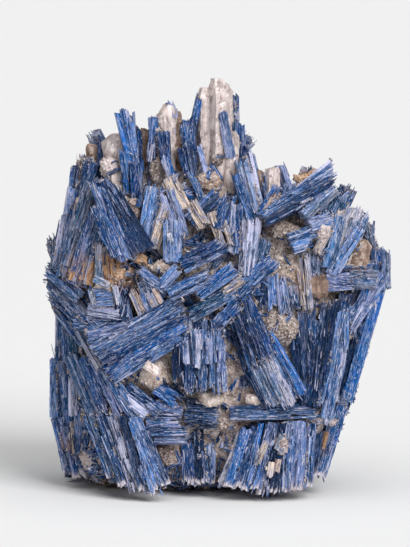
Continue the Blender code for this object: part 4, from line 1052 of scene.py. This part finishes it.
def kyanite_material():
    """Kyanite: blue zones and pale streaks that follow the blade, and a pearly, ridged surface.
    The pale streaks and hairs are partly the stone's own and partly painted sheen, the white flecks are
    painted glints, the near-black flecks are painted shade in the gaps between fibres, and the dark
    streaks and hairs are partly deep-blue zoning and partly painted shade in the grooves.

    The blade's own map is in mm across and along it, so each scale is in waves to the mm.
    """
    made, tree, shader = new_material("blue_kyanite")
    layer = tree.nodes.new("ShaderNodeUVMap")
    layer.uv_map = "blade_mm"
    across = layer.outputs["UV"]
    where = tree.nodes.new("ShaderNodeTexCoord").outputs["Object"]
    body = attribute(tree, "tone", "Color")
    worn = attribute(tree, "broken")
    patches = noise_on(tree, where, 60, 3)
    zones = noise_on(tree, stretched(tree, across, (0.4, 0.06, 1)), 1, 3)
    streaks = noise_on(tree, stretched(tree, across, (1.1, 0.08, 1)), 1, 5, 0.65)
    hairs = noise_on(tree, stretched(tree, across, (3.2, 0.22, 1)), 1, 3, 0.6)
    flecks = noise_on(tree, stretched(tree, across, (1.5, 0.45, 1)), 1, 5, 0.75)

    # A darker blue. In broad patches it is the stone's own deep zoning. Along the fine dark streaks and
    # hairs it is partly painted shade of the grooves between fibres.
    deep_blue_and_painted_groove_shade = mixed(tree, 1.0, body, (0.08, 0.25, 0.42), "MULTIPLY")
    rich = mixed(tree, 1.0, body, (0.32, 0.9, 1.25), "MULTIPLY")
    # Pale lavender and near-white mixes for the pale streaks and hairs: partly the stone's own streaking,
    # partly painted sheen.
    light = mixed(tree, 0.4, body, (0.52, 0.51, 0.7))
    bright_hair_and_sheen = mixed(tree, 0.66, body, (0.92, 0.88, 0.98))
    parts = tree.nodes.new("ShaderNodeSeparateColor")
    tree.links.new(body, parts.inputs["Color"])
    open_blue = ramp_of(tree, parts.outputs["Blue"], 0.02, 0.26)
    # Where the pale streaks and hairs are laid, partly painted sheen: on blue blades only.
    pale_streak_and_sheen_mask = maths(tree, "MULTIPLY", ramp_of(tree, streaks, 0.53, 0.63), open_blue)
    pale_hair_and_sheen_mask = maths(tree, "MULTIPLY", ramp_of(tree, hairs, 0.55, 0.66), open_blue)
    # Where the painted glints go: high spots of the fleck noise, on blue blades only.
    painted_glint_mask = maths(tree, "MULTIPLY", ramp_of(tree, flecks, 0.585, 0.67), open_blue)
    paleness = ramp_of(tree, parts.outputs["Red"], 0.1, 0.36)
    plain = maths(tree, "MAXIMUM", ramp_of(tree, zones, 0.43, 0.54), paleness)
    blue = layered(tree, rich, (
        (plain, body),
        (ramp_of(tree, patches, 0.48, 0.36), deep_blue_and_painted_groove_shade),
        (ramp_of(tree, streaks, 0.47, 0.36), deep_blue_and_painted_groove_shade),
        (pale_streak_and_sheen_mask, light),
        (ramp_of(tree, hairs, 0.44, 0.34), deep_blue_and_painted_groove_shade),
        (pale_hair_and_sheen_mask, bright_hair_and_sheen),
        (painted_glint_mask, PAINTED_GLINTS_ON_BLUE_BLADES),
    ))
    dull = mixed(tree, 1.0, body, (0.3, 0.24, 0.22), "MULTIPLY")
    stone = layered(tree, body, (
        (ramp_of(tree, streaks, 0.47, 0.38), dull),
        (ramp_of(tree, hairs, 0.46, 0.36), dull),
        (ramp_of(tree, zones, 0.53, 0.6), BLUE_ZONES_OF_PALE_BLADES),
        (ramp_of(tree, flecks, 0.58, 0.68), PALE_BLADE_FLECKS),
    ))
    warmth = maths(tree, "SUBTRACT", parts.outputs["Red"], parts.outputs["Blue"])
    chalky = ramp_of(tree, maths(tree, "ADD", worn, flecks), 0.92, 1.15)
    dirt = ramp_of(tree, noise_on(tree, where, 240, 4, 0.65), 0.38, 0.62)
    streaky = maths(tree, "MULTIPLY", dirt, ramp_of(tree, streaks, 0.38, 0.52))
    rusty = maths(tree, "MULTIPLY", attribute(tree, "stain"), streaky, True)
    colour = layered(tree, blue, (
        (ramp_of(tree, warmth, 0, 0.04), stone),
        # Near-black flecks: painted shade in the gaps between fibres.
        (ramp_of(tree, flecks, 0.41, 0.33), PAINTED_GAP_SHADE),
        (chalky, CHALK),
        (rusty, RUST_ON_BLADES),
    ))
    tree.links.new(colour, shader.inputs["Base Color"])
    ridges = None
    for height, distance, strength in ((streaks, 0.0008, 0.8), (hairs, 0.0003, 0.8), (flecks, 0.0006, 0.6)):
        ridges = raised(tree, height, distance, strength, ridges)
    tree.links.new(ridges, shader.inputs["Normal"])
    tree.links.new(ramp_of(tree, flecks, 0.35, 0.65, 0.1, 0.36), shader.inputs["Roughness"])
    shader.inputs["IOR"].default_value = 1.72
    shader.inputs["Specular IOR Level"].default_value = 0.15
    shader.inputs["Specular Tint"].default_value = (0.35, 0.6, 1, 1)
    return made


def cladding():
    """Laths that lean out of the sides and back, as (root, tip, facing, lath)."""
    steady = random.Random(CLAD_SEED)
    placed = []
    for row, (height, count) in enumerate(CLAD_ROWS):
        ring = ring_at(height)
        for number in range(count * 2):
            turn = math.pi * (number + 0.5 * (row % 2)) / count
            point = ring_point(ring, turn)
            ahead = ring_point(ring, turn + 0.05)
            out = (ahead - point).cross(Vector((0, 0, 1))).normalized()
            level = Vector((0, 0, 1)).cross(out)
            wander = (-CLAD_SLOPE_WANDER, CLAD_SLOPE_WANDER)
            slope = math.radians(steady.choice(CLAD_SLOPES) + steady.uniform(*wander))
            lean = math.radians(steady.uniform(*CLAD_LEAN))
            length = steady.uniform(*CLAD_LENGTHS)
            wide = steady.uniform(*CLAD_WIDTHS)
            tone = steady.choice(CLAD_TONES)
            if out.dot(TOWARDS_VIEWER) > FRONT_SHARE:
                continue
            run = level * math.cos(slope) + Vector((0, 0, 1)) * math.sin(slope)
            along = run * math.cos(lean) + out * math.sin(lean)
            start = point + out * 0.4 - along * length * 0.5
            start.z = max(start.z, 4)
            roll = steady.uniform(-CLAD_ROLL, CLAD_ROLL)
            lath = Lath(None, None, wide, wide * CLAD_THICKNESS, roll, tone)
            placed.append((start, start + along * length, out, lath))
    return placed


kyanite = kyanite_material()
blade_groups = {
    "crown_blades": CROWN,
    "crown_back_blades": CROWN_BEHIND,
    "left_shoulder_blades": LEFT_SHOULDER,
    "upper_middle_blades": UPPER_MIDDLE,
    "right_wing_blades": RIGHT_WING,
    "left_middle_blades": LEFT_MIDDLE,
    "middle_blades": MIDDLE,
    "right_blades": RIGHT,
    "left_lower_blades": LEFT_LOWER,
    "foot_blades": FOOT,
    "odd_blades": ODD_BLADES,
}
laid_out = {
    name: [(seen(lath.root), seen(lath.tip), TOWARDS_VIEWER, lath) for lath in group]
    for name, group in blade_groups.items()
}
laid_out["side_and_back_blades"] = cladding()
blade_pieces = []
for number, (name, laths) in enumerate(laid_out.items()):
    steady = random.Random(100 + number)
    strips = Strips()
    for root, tip, facing, lath in laths:
        if lath.tone not in QUARTZ_TONES:
            add_blade(strips, steady, root, tip, facing, lath, name in GLASSY)
    piece = strips.piece(name)
    piece.data.materials.append(kyanite)
    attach(piece, "root")
    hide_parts("kyanite_cluster")
    blade_pieces.append(piece)

# The quartz crystals: six-sided points, clear, milky or smoky brown, that stand among the blades and are
# rooted with them in the matrix. Each has a blunt tip off its middle and a few veils of frost inside.

QUARTZ_RING_PITCH = 1.3
QUARTZ_SIDE_POINTS = 4
QUARTZ_PLUMPNESS = (1.14, 1.15)
QUARTZ_SHOULDERS = (0.84, 0.96)
QUARTZ_CLOSING = 0.55
QUARTZ_CHIPS = 1.5
QUARTZ_CHIP_PITCH = 3.4
CLEAR_QUARTZ = (0.88, 0.76, 0.73)
FROSTED_QUARTZ = (0.86, 0.72, 0.69)
QUARTZ_DIRT = (0.3, 0.21, 0.16)
QUARTZ_DARK_SPECKS = (0.42, 0.34, 0.33)
QUARTZ_PALE_SPECKS = (0.97, 0.93, 0.94)
SMOKE = (0.46, 0.36, 0.29)


def add_quartz(mesh, steady, root, tip, facing, lath):
    """One crystal: a prism with sides of uneven width, closed by slanting faces at its tip."""
    axes = turned(root, tip, facing, lath.roll)
    length = (tip - root).length
    turns = [math.radians(60 * k + steady.uniform(-12, 12)) for k in range(6)]
    half = np.array((lath.wide / 2, lath.thick / 2)) * QUARTZ_PLUMPNESS
    apex = np.array((steady.uniform(-0.25, 0.25) * lath.wide, steady.uniform(-0.2, 0.2) * lath.thick))
    flats = [np.array((math.cos(turn), math.sin(turn))) * half for turn in turns]
    shoulders = [length * steady.uniform(*QUARTZ_SHOULDERS) for _ in range(6)]
    smoke = mesh.verts.layers.float.get("smoke")
    rows = max(4, int(length / QUARTZ_RING_PITCH))
    rings = []
    for row in range(rows + 1):
        share = row / rows
        ring = []
        for side in range(6):
            for part in range(QUARTZ_SIDE_POINTS):
                blend = part / QUARTZ_SIDE_POINTS
                flat = flats[side] * (1 - blend) + flats[(side + 1) % 6] * blend
                shoulder = shoulders[side] * (1 - blend) + shoulders[(side + 1) % 6] * blend
                closed = min(max((share * length - shoulder) / (length - shoulder), 0), 1)
                closed *= QUARTZ_CLOSING
                flat = flat * (1.05 - 0.07 * share) * (1 - closed) + apex * closed
                spot = np.array(root) + axes @ np.array((*flat, share * length))
                ring.append(mesh.verts.new(spot))
                ring[-1][smoke] = 1.0 if lath.tone == "smoky" else 0.0
        rings.append(ring)
    for lower, upper in zip(rings, rings[1:]):
        for k in range(len(lower)):
            after = (k + 1) % len(lower)
            mesh.faces.new((lower[k], lower[after], upper[after], upper[k]))
    mesh.faces.new(list(reversed(rings[0])))
    mesh.faces.new(rings[-1])


def quartz_material():
    """Quartz: clear with faint grey-brown, frosted in patches, and brown with dirt in others."""
    made, tree, shader = new_material("clear_quartz")
    where = tree.nodes.new("ShaderNodeTexCoord").outputs["Object"]
    veils = noise_on(tree, stretched(tree, where, (1, 1, 0.3)), 160, 4, 0.6)
    frost = ramp_of(tree, veils, 0.36, 0.6)
    dirt = ramp_of(tree, noise_on(tree, stretched(tree, where, (1, 1, 0.4)), 130, 4, 0.65), 0.56, 0.7)
    specks = noise_on(tree, stretched(tree, where, (1, 1, 0.5)), 420, 4, 0.7)
    colour = layered(tree, mixed(tree, frost, CLEAR_QUARTZ, FROSTED_QUARTZ), (
        (dirt, QUARTZ_DIRT),
        (ramp_of(tree, specks, 0.47, 0.38), QUARTZ_DARK_SPECKS),
        (ramp_of(tree, specks, 0.56, 0.66), QUARTZ_PALE_SPECKS),
    ))
    smoky = mixed(tree, 1.0, colour, SMOKE, "MULTIPLY")
    colour = mixed(tree, attribute(tree, "smoke"), colour, smoky)
    tree.links.new(colour, shader.inputs["Base Color"])
    clear = maths(tree, "SUBTRACT", 0.55, maths(tree, "MULTIPLY", frost, 0.42))
    tree.links.new(clear, shader.inputs["Transmission Weight"])
    rough = maths(tree, "ADD", 0.06, maths(tree, "MULTIPLY", frost, 0.35))
    tree.links.new(rough, shader.inputs["Roughness"])
    shader.inputs["IOR"].default_value = 1.55
    fine = noise_on(tree, stretched(tree, where, (1, 1, 2.2)), 500, 3)
    tree.links.new(raised(tree, fine, 0.0004, 0.5), shader.inputs["Normal"])
    murk = tree.nodes.new("ShaderNodeVolumeAbsorption")
    murk.inputs["Color"].default_value = (0.78, 0.66, 0.64, 1)
    murk.inputs["Density"].default_value = 40
    tree.links.new(murk.outputs[0], tree.nodes["Material Output"].inputs["Volume"])
    return made


quartz_mesh = bmesh.new()
quartz_mesh.verts.layers.float.new("smoke")
quartz_draws = random.Random(5)
for laths in laid_out.values():
    for root, tip, facing, lath in laths:
        if lath.tone in QUARTZ_TONES:
            add_quartz(quartz_mesh, quartz_draws, root, tip, facing, lath)
bmesh.ops.recalc_face_normals(quartz_mesh, faces=quartz_mesh.faces)
quartz_mesh.normal_update()
for vert in quartz_mesh.verts:
    stretched_place = Vector((vert.co.x, vert.co.y, vert.co.z * 0.45)) / QUARTZ_CHIP_PITCH
    near = noise.voronoi(stretched_place)[0]
    chip_depth = min(near[1] - near[0], 0.5) - 0.4
    vert.co = kept_inside(np.array(vert.co + vert.normal * chip_depth * QUARTZ_CHIPS))
bmesh.ops.scale(quartz_mesh, vec=(MM, MM, MM), verts=quartz_mesh.verts)
quartz_data = bpy.data.meshes.new("quartz_crystals")
quartz_mesh.to_mesh(quartz_data)
quartz_mesh.free()
quartz_crystals = bpy.data.objects.new("quartz_crystals", quartz_data)
bpy.context.scene.collection.objects.link(quartz_crystals)
quartz_crystals.data.materials.append(quartz_material())
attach(quartz_crystals, "root")
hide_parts("kyanite_cluster")

# The rubble: where no blade covers the matrix, short broken blades and crumbs of quartz are stuck all
# over it. The chips lie flat on the stone and follow one another's direction in swirls.

CHIP_KINDS = (
    "ink", "navy", "blue", "navy", "steel", "sky", "pale", "royal", "cream", "navy", "blue", "teal",
)
CRUMB_KINDS = 6
COVER_REACH = 8
CHIPS_PER_M2 = 150000
CRUMBS_PER_M2 = 250000
SWIRL_SCALE = 38
SWIRL_TURN = 14
STRAY_TURN = 0.45


def chip(name, tone, steady):
    """A splinter of two strips, about 7 mm long, that lies flat and points along X."""
    strips = Strips()
    axes = np.array(((0.0, 0.0, 1.0), (1.0, 0.0, 0.0), (0.0, -1.0, 0.0)))
    for side in (-0.4, 0.4):
        length = steady.uniform(5, 9)
        wide = steady.uniform(0.5, 1.2)
        own = strip_tone(TONES[tone], steady)
        add_strip(
            strips, steady, np.array((-3.5, 0, 0)), axes, (steady.uniform(0, 1.5), length, length),
            side, steady.uniform(-0.2, 0.2), wide, steady.uniform(0.8, 1.6), own, (0.15, 0.9),
        )
    return strips.piece(name)


def crumb(name, steady):
    """A broken grain of quartz, about 1 mm across, with flat faces. It takes its spot's colour."""
    mesh = bmesh.new()
    bmesh.ops.create_icosphere(mesh, subdivisions=1, radius=1)
    for vert in mesh.verts:
        vert.co *= steady.uniform(0.7, 1.2)
    points = [tuple(vert.co) for vert in mesh.verts]
    faces = [[vert.index for vert in face.verts] for face in mesh.faces]
    mesh.free()
    return to_mesh(name, points, faces)


def new_tree(name, inputs):
    """A geometry tree with named inputs. It gives back the tree and its input and output nodes."""
    tree = bpy.data.node_groups.new(name, "GeometryNodeTree")
    tree.interface.new_socket("Geometry", in_out="INPUT", socket_type="NodeSocketGeometry")
    for label, kind in inputs.items():
        tree.interface.new_socket(label, in_out="INPUT", socket_type=kind)
    tree.interface.new_socket("Geometry", in_out="OUTPUT", socket_type="NodeSocketGeometry")
    return tree, tree.nodes.new("NodeGroupInput"), tree.nodes.new("NodeGroupOutput")


def random_between(tree, low, high, kind, seed):
    node = tree.nodes.new("FunctionNodeRandomValue")
    node.data_type = kind
    ends = {"FLOAT_VECTOR": (0, 1, 0), "FLOAT": (2, 3, 1), "INT": (4, 5, 2)}[kind]
    for end, value in zip(ends, (low, high)):
        if isinstance(value, bpy.types.NodeSocket):
            tree.links.new(value, node.inputs[end])
        else:
            node.inputs[end].default_value = value
    node.inputs["Seed"].default_value = seed
    return node.outputs[ends[2]]


def scatter_tree():
    """Copies from a collection over the bare parts of a surface, lying flat and turned in swirls."""
    inputs = {
        "Copies": "NodeSocketCollection",
        "Where": "NodeSocketString",
        "Number per square metre": "NodeSocketFloat",
        "Smallest": "NodeSocketFloat",
        "Largest": "NodeSocketFloat",
        "Tilt": "NodeSocketFloat",
        "Seed": "NodeSocketInt",
        "Material": "NodeSocketMaterial",
    }
    tree, given, result = new_tree("scatter_over_bare_stone", inputs)
    link = tree.links.new
    points = tree.nodes.new("GeometryNodeDistributePointsOnFaces")
    bare = tree.nodes.new("GeometryNodeInputNamedAttribute")
    bare.data_type = "FLOAT"
    link(given.outputs["Where"], bare.inputs["Name"])
    density = maths(tree, "MULTIPLY", bare.outputs[0], given.outputs["Number per square metre"])
    link(given.outputs["Geometry"], points.inputs["Mesh"])
    link(density, points.inputs["Density"])
    link(given.outputs["Seed"], points.inputs["Seed"])
    source = tree.nodes.new("GeometryNodeCollectionInfo")
    source.inputs["Separate Children"].default_value = True
    source.inputs["Reset Children"].default_value = True
    link(given.outputs["Copies"], source.inputs["Collection"])
    swirl = tree.nodes.new("ShaderNodeTexNoise")
    swirl.inputs["Scale"].default_value = SWIRL_SCALE
    swirl.inputs["Detail"].default_value = 1
    link(tree.nodes.new("GeometryNodeInputPosition").outputs[0], swirl.inputs["Vector"])
    spin = maths(tree, "MULTIPLY", swirl.outputs["Fac"], SWIRL_TURN)
    spin = maths(tree, "ADD", spin, random_between(tree, -STRAY_TURN, STRAY_TURN, "FLOAT", 3))
    lean = maths(tree, "MULTIPLY", given.outputs["Tilt"], -1)
    turn = tree.nodes.new("ShaderNodeCombineXYZ")
    link(random_between(tree, lean, given.outputs["Tilt"], "FLOAT", 4), turn.inputs["X"])
    link(random_between(tree, lean, given.outputs["Tilt"], "FLOAT", 5), turn.inputs["Y"])
    link(spin, turn.inputs["Z"])
    as_turn = tree.nodes.new("FunctionNodeEulerToRotation")
    link(turn.outputs[0], as_turn.inputs[0])
    both = tree.nodes.new("FunctionNodeRotateRotation")
    both.rotation_space = "LOCAL"
    link(points.outputs["Rotation"], both.inputs[0])
    link(as_turn.outputs[0], both.inputs[1])
    placed = tree.nodes.new("GeometryNodeInstanceOnPoints")
    placed.inputs["Pick Instance"].default_value = True
    link(points.outputs["Points"], placed.inputs["Points"])
    link(source.outputs[0], placed.inputs["Instance"])
    link(random_between(tree, 0, 1000, "INT", 6), placed.inputs["Instance Index"])
    link(both.outputs[0], placed.inputs["Rotation"])
    size = random_between(tree, given.outputs["Smallest"], given.outputs["Largest"], "FLOAT", 7)
    link(size, placed.inputs["Scale"])
    real = tree.nodes.new("GeometryNodeRealizeInstances")
    link(placed.outputs["Instances"], real.inputs[0])
    painted = tree.nodes.new("GeometryNodeSetMaterial")
    link(real.outputs[0], painted.inputs["Geometry"])
    link(given.outputs["Material"], painted.inputs["Material"])
    link(painted.outputs[0], result.inputs[0])
    return tree


def scattered(name, surface, tree, kinds, values):
    """A plain mesh of the scatter that the tree makes over the surface."""
    copies = bpy.data.collections.new(name + "_copies")
    for made in kinds:
        bpy.context.scene.collection.objects.unlink(made)
        copies.objects.link(made)
    carrier = bpy.data.objects.new(name + "_carrier", surface.data)
    bpy.context.scene.collection.objects.link(carrier)
    modifier = carrier.modifiers.new("scatter", "NODES")
    modifier.node_group = tree
    values["Copies"] = copies
    for item in tree.interface.items_tree:
        if item.in_out == "INPUT" and item.name in values:
            modifier[item.identifier] = values[item.name]
    made = settled(carrier, name)
    corners = np.empty(len(made.data.vertices) * 3, np.float32)
    made.data.vertices.foreach_get("co", corners)
    inside = kept_inside(corners.reshape(-1, 3) / MM) * MM
    made.data.vertices.foreach_set("co", inside.ravel())
    for source in list(copies.objects):
        bpy.data.objects.remove(source)
    bpy.data.collections.remove(copies)
    return made


cover_points, cover_faces = [], []
for piece in blade_pieces + [quartz_crystals]:
    first = len(cover_points)
    cover_points += [vert.co / MM for vert in piece.data.vertices]
    cover_faces += [[first + corner for corner in face.vertices] for face in piece.data.polygons]
cover = BVHTree.FromPolygons(cover_points, cover_faces)
clean_lumps = [(seen(lump.centre), max(lump.size)) for lump in LUMPS if max(lump.size) < 18]
bare, clean = [], []
for vert in matrix_body.data.vertices:
    point = vert.co / MM
    hit = cover.ray_cast(point + vert.normal * 0.2, vert.normal, COVER_REACH)[0]
    bare.append(1.0 if hit is None and point.z > 2 else 0.0)
    on_lump = any((point - centre).length < reach for centre, reach in clean_lumps)
    clean.append(0.12 if on_lump else 1.0)
for label, values in (("bare", np.array(bare) * clean), ("crumbly", np.array(bare))):
    layer = matrix_body.data.attributes.new(label, "FLOAT", "POINT")
    layer.data.foreach_set("value", values.astype(np.float32))
scatter = scatter_tree()
chip_draws = random.Random(21)
chips = scattered(
    "blade_chips",
    matrix_body,
    scatter,
    [chip(f"chip_{n}", tone, chip_draws) for n, tone in enumerate(CHIP_KINDS)],
    {
        "Where": "bare",
        "Number per square metre": CHIPS_PER_M2,
        "Smallest": 0.45,
        "Largest": 1.35,
        "Tilt": 0.35,
        "Seed": 2,
        "Material": kyanite,
    },
)
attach(chips, "root")
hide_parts("kyanite_cluster")
crumbs = scattered(
    "quartz_crumbs",
    matrix_body,
    scatter,
    [crumb(f"crumb_{n}", chip_draws) for n in range(CRUMB_KINDS)],
    {
        "Where": "crumbly",
        "Number per square metre": CRUMBS_PER_M2,
        "Smallest": 0.3,
        "Largest": 0.95,
        "Tilt": 1.5,
        "Seed": 9,
        "Material": matrix_body.data.materials[0],
    },
)
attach(crumbs, "root")
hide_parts("kyanite_cluster")

# The sugar in the seams: in patches, fine grains of frosty quartz and short splinters fill the corners
# between blades. They are stuck along the inner corners of the grown-together mass.

SEAM_BEND = -0.85
SEAM_PITCH = 0.56
SEAM_PATCH = 0.16
SUGAR_SIZES = (0.16, 0.6, 0.24)
GRAINS_TO_A_SPOT = 3
SPOTS_WITH_SPLINTERS = 0.3
SEAM_TONES = ("quartz", "frost", "quartz", "cream", "beige", "frost", "smoky", "pale")
SPLINTER_TONES = ("ice", "blue", "navy", "pale", "violet", "navy", "sky", "frost")


def seam_points():
    """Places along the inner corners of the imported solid, in mm: each with its way out and its run."""
    steady = random.Random(77)
    corners = bmesh.new()
    corners.from_mesh(bpy.data.objects["kyanite_cluster"].data)
    bmesh.ops.remove_doubles(corners, verts=corners.verts, dist=1e-6)
    bmesh.ops.recalc_face_normals(corners, faces=corners.faces)
    found = []
    for edge in corners.edges:
        if len(edge.link_faces) != 2 or edge.calc_face_angle_signed(0) > SEAM_BEND:
            continue
        start, end = (vert.co / MM for vert in edge.verts)
        out = (edge.link_faces[0].normal + edge.link_faces[1].normal).normalized()
        for _ in range(int((end - start).length / SEAM_PITCH + steady.random())):
            place = start.lerp(end, steady.random())
            if noise.noise(place / 8) > SEAM_PATCH and place.z > 1:
                found.append((place, out, (end - start).normalized()))
    corners.free()
    return found


sugar_points, sugar_faces, sugar_tones = [], [], []
sugar_draws = random.Random(31)
seam_strips = Strips()
for place, out, run in seam_points():
    tint = int((noise.noise(place / 5) * 0.5 + 0.5) * len(SEAM_TONES) * 0.999)
    tone = np.array(TONES[SEAM_TONES[tint]])
    for _ in range(GRAINS_TO_A_SPOT):
        size = sugar_draws.triangular(*SUGAR_SIZES)
        middle = place + out * sugar_draws.uniform(-0.4, 0.2)
        middle += Vector([sugar_draws.gauss(0, 0.35) for _ in range(3)])
        turn = Matrix.Rotation(sugar_draws.uniform(0, 6), 3, "X") @ Matrix.Rotation(
            sugar_draws.uniform(0, 6), 3, "Y"
        )
        first = len(sugar_points)
        shade = tone * sugar_draws.uniform(0.6, 1.2)
        for corner in ((1, 0, 0), (-1, 0, 0), (0, 1, 0), (0, -1, 0), (0, 0, 1.3), (0, 0, -1.3)):
            reach = size * sugar_draws.uniform(0.7, 1.2)
            sugar_points.append(middle + turn @ Vector(corner) * reach)
            sugar_tones.append(shade)
        for a, b, c in ((0, 2, 4), (2, 1, 4), (1, 3, 4), (3, 0, 4)):
            sugar_faces.append((first + a, first + b, first + c))
            sugar_faces.append((first + b, first + a, first + 5))
    if sugar_draws.random() < SPOTS_WITH_SPLINTERS:
        lean = Vector([sugar_draws.gauss(0, 0.22) for _ in range(3)])
        reach = sugar_draws.triangular(1.5, 5, 2.5)
        along = (run + lean - out * run.dot(out)).normalized()
        start = place - along * reach / 2
        own_axes = turned(start, start + along, out, sugar_draws.uniform(-40, 40))
        add_strip(
            seam_strips, sugar_draws, np.array(start), own_axes, (0, reach, reach), 0, 0,
            sugar_draws.uniform(0.3, 1.1), sugar_draws.uniform(0.3, 0.8),
            np.array(TONES[sugar_draws.choice(SPLINTER_TONES)]), (0.2, 0.8),
        )
sugar_points = kept_inside(np.array(sugar_points))
seam_sugar = to_mesh(
    "seam_sugar", sugar_points, sugar_faces, None, np.array(sugar_tones), stain_at(sugar_points)
)
seam_sugar.data.materials.append(matrix_body.data.materials[0])
seam_splinters = seam_strips.piece("seam_splinters")
seam_splinters.data.materials.append(kyanite)
for piece, slot in ((seam_sugar, "matrix"), (seam_splinters, "kyanite")):
    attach(piece, "root")
    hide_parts("kyanite_cluster")

# The floor and the light: a pale sheet, with soft light from the upper right and from above, as in the
# photograph, where the weak shadow falls to the left.

floor_data = bpy.data.meshes.new("floor")
floor_data.from_pydata([(-15, -9, 0), (15, -9, 0), (15, 30, 0), (-15, 30, 0)], [], [(0, 1, 2, 3)])
floor = bpy.data.objects.new("floor", floor_data)
bpy.context.scene.collection.objects.link(floor)
floor_paint, _, floor_shader = new_material("pale_paper")
floor_shader.inputs["Base Color"].default_value = (0.8, 0.8, 0.8, 1)
floor_shader.inputs["Roughness"].default_value = 0.9
floor_data.materials.append(floor_paint)

world = bpy.data.worlds.new("studio")
bpy.context.scene.world = world
world.use_nodes = True
world.node_tree.nodes["Background"].inputs["Color"].default_value = (0.97, 0.98, 1, 1)
world.node_tree.nodes["Background"].inputs["Strength"].default_value = 0.08

# Each lamp is its name, the place that it shines from, its spread in degrees and its strength.
LAMPS = (
    ("key", (1.1, -1.5, 1.3), 40, 2.6),
    ("fill", (-1.6, -1.7, 0.7), 50, 0.3),
    ("top", (0.1, -0.2, 1.7), 80, 1.75),
)
for name, place, spread_deg, power in LAMPS:
    light = bpy.data.lights.new(name, "SUN")
    light.energy = power
    light.angle = math.radians(spread_deg)
    lamp = bpy.data.objects.new(name, light)
    lamp.location = place
    aim = -Vector(place)
    lamp.rotation_euler = aim.to_track_quat("-Z", "Y").to_euler()
    bpy.context.scene.collection.objects.link(lamp)

# The picture's height in metres and its middle in mm, at the half millimetre that a pixel stands for.
PICTURE_HEIGHT = 0.2735
PICTURE_MIDDLE = (-6, 106.75, 0)
CAMERA_DISTANCE = 3.0
AIM = seen(PICTURE_MIDDLE) * MM
camera_data = bpy.data.cameras.new("camera")
camera_data.sensor_width = 36
camera_data.lens = camera_data.sensor_width * CAMERA_DISTANCE / PICTURE_HEIGHT
camera = bpy.data.objects.new("camera", camera_data)
camera.location = AIM + TOWARDS_VIEWER * CAMERA_DISTANCE
camera.rotation_euler = (math.pi / 2 - VIEW_ELEVATION, 0, 0)
bpy.context.scene.collection.objects.link(camera)
bpy.context.scene.camera = camera

scene = bpy.context.scene
scene.render.engine = "CYCLES"
scene.view_settings.view_transform = "Standard"
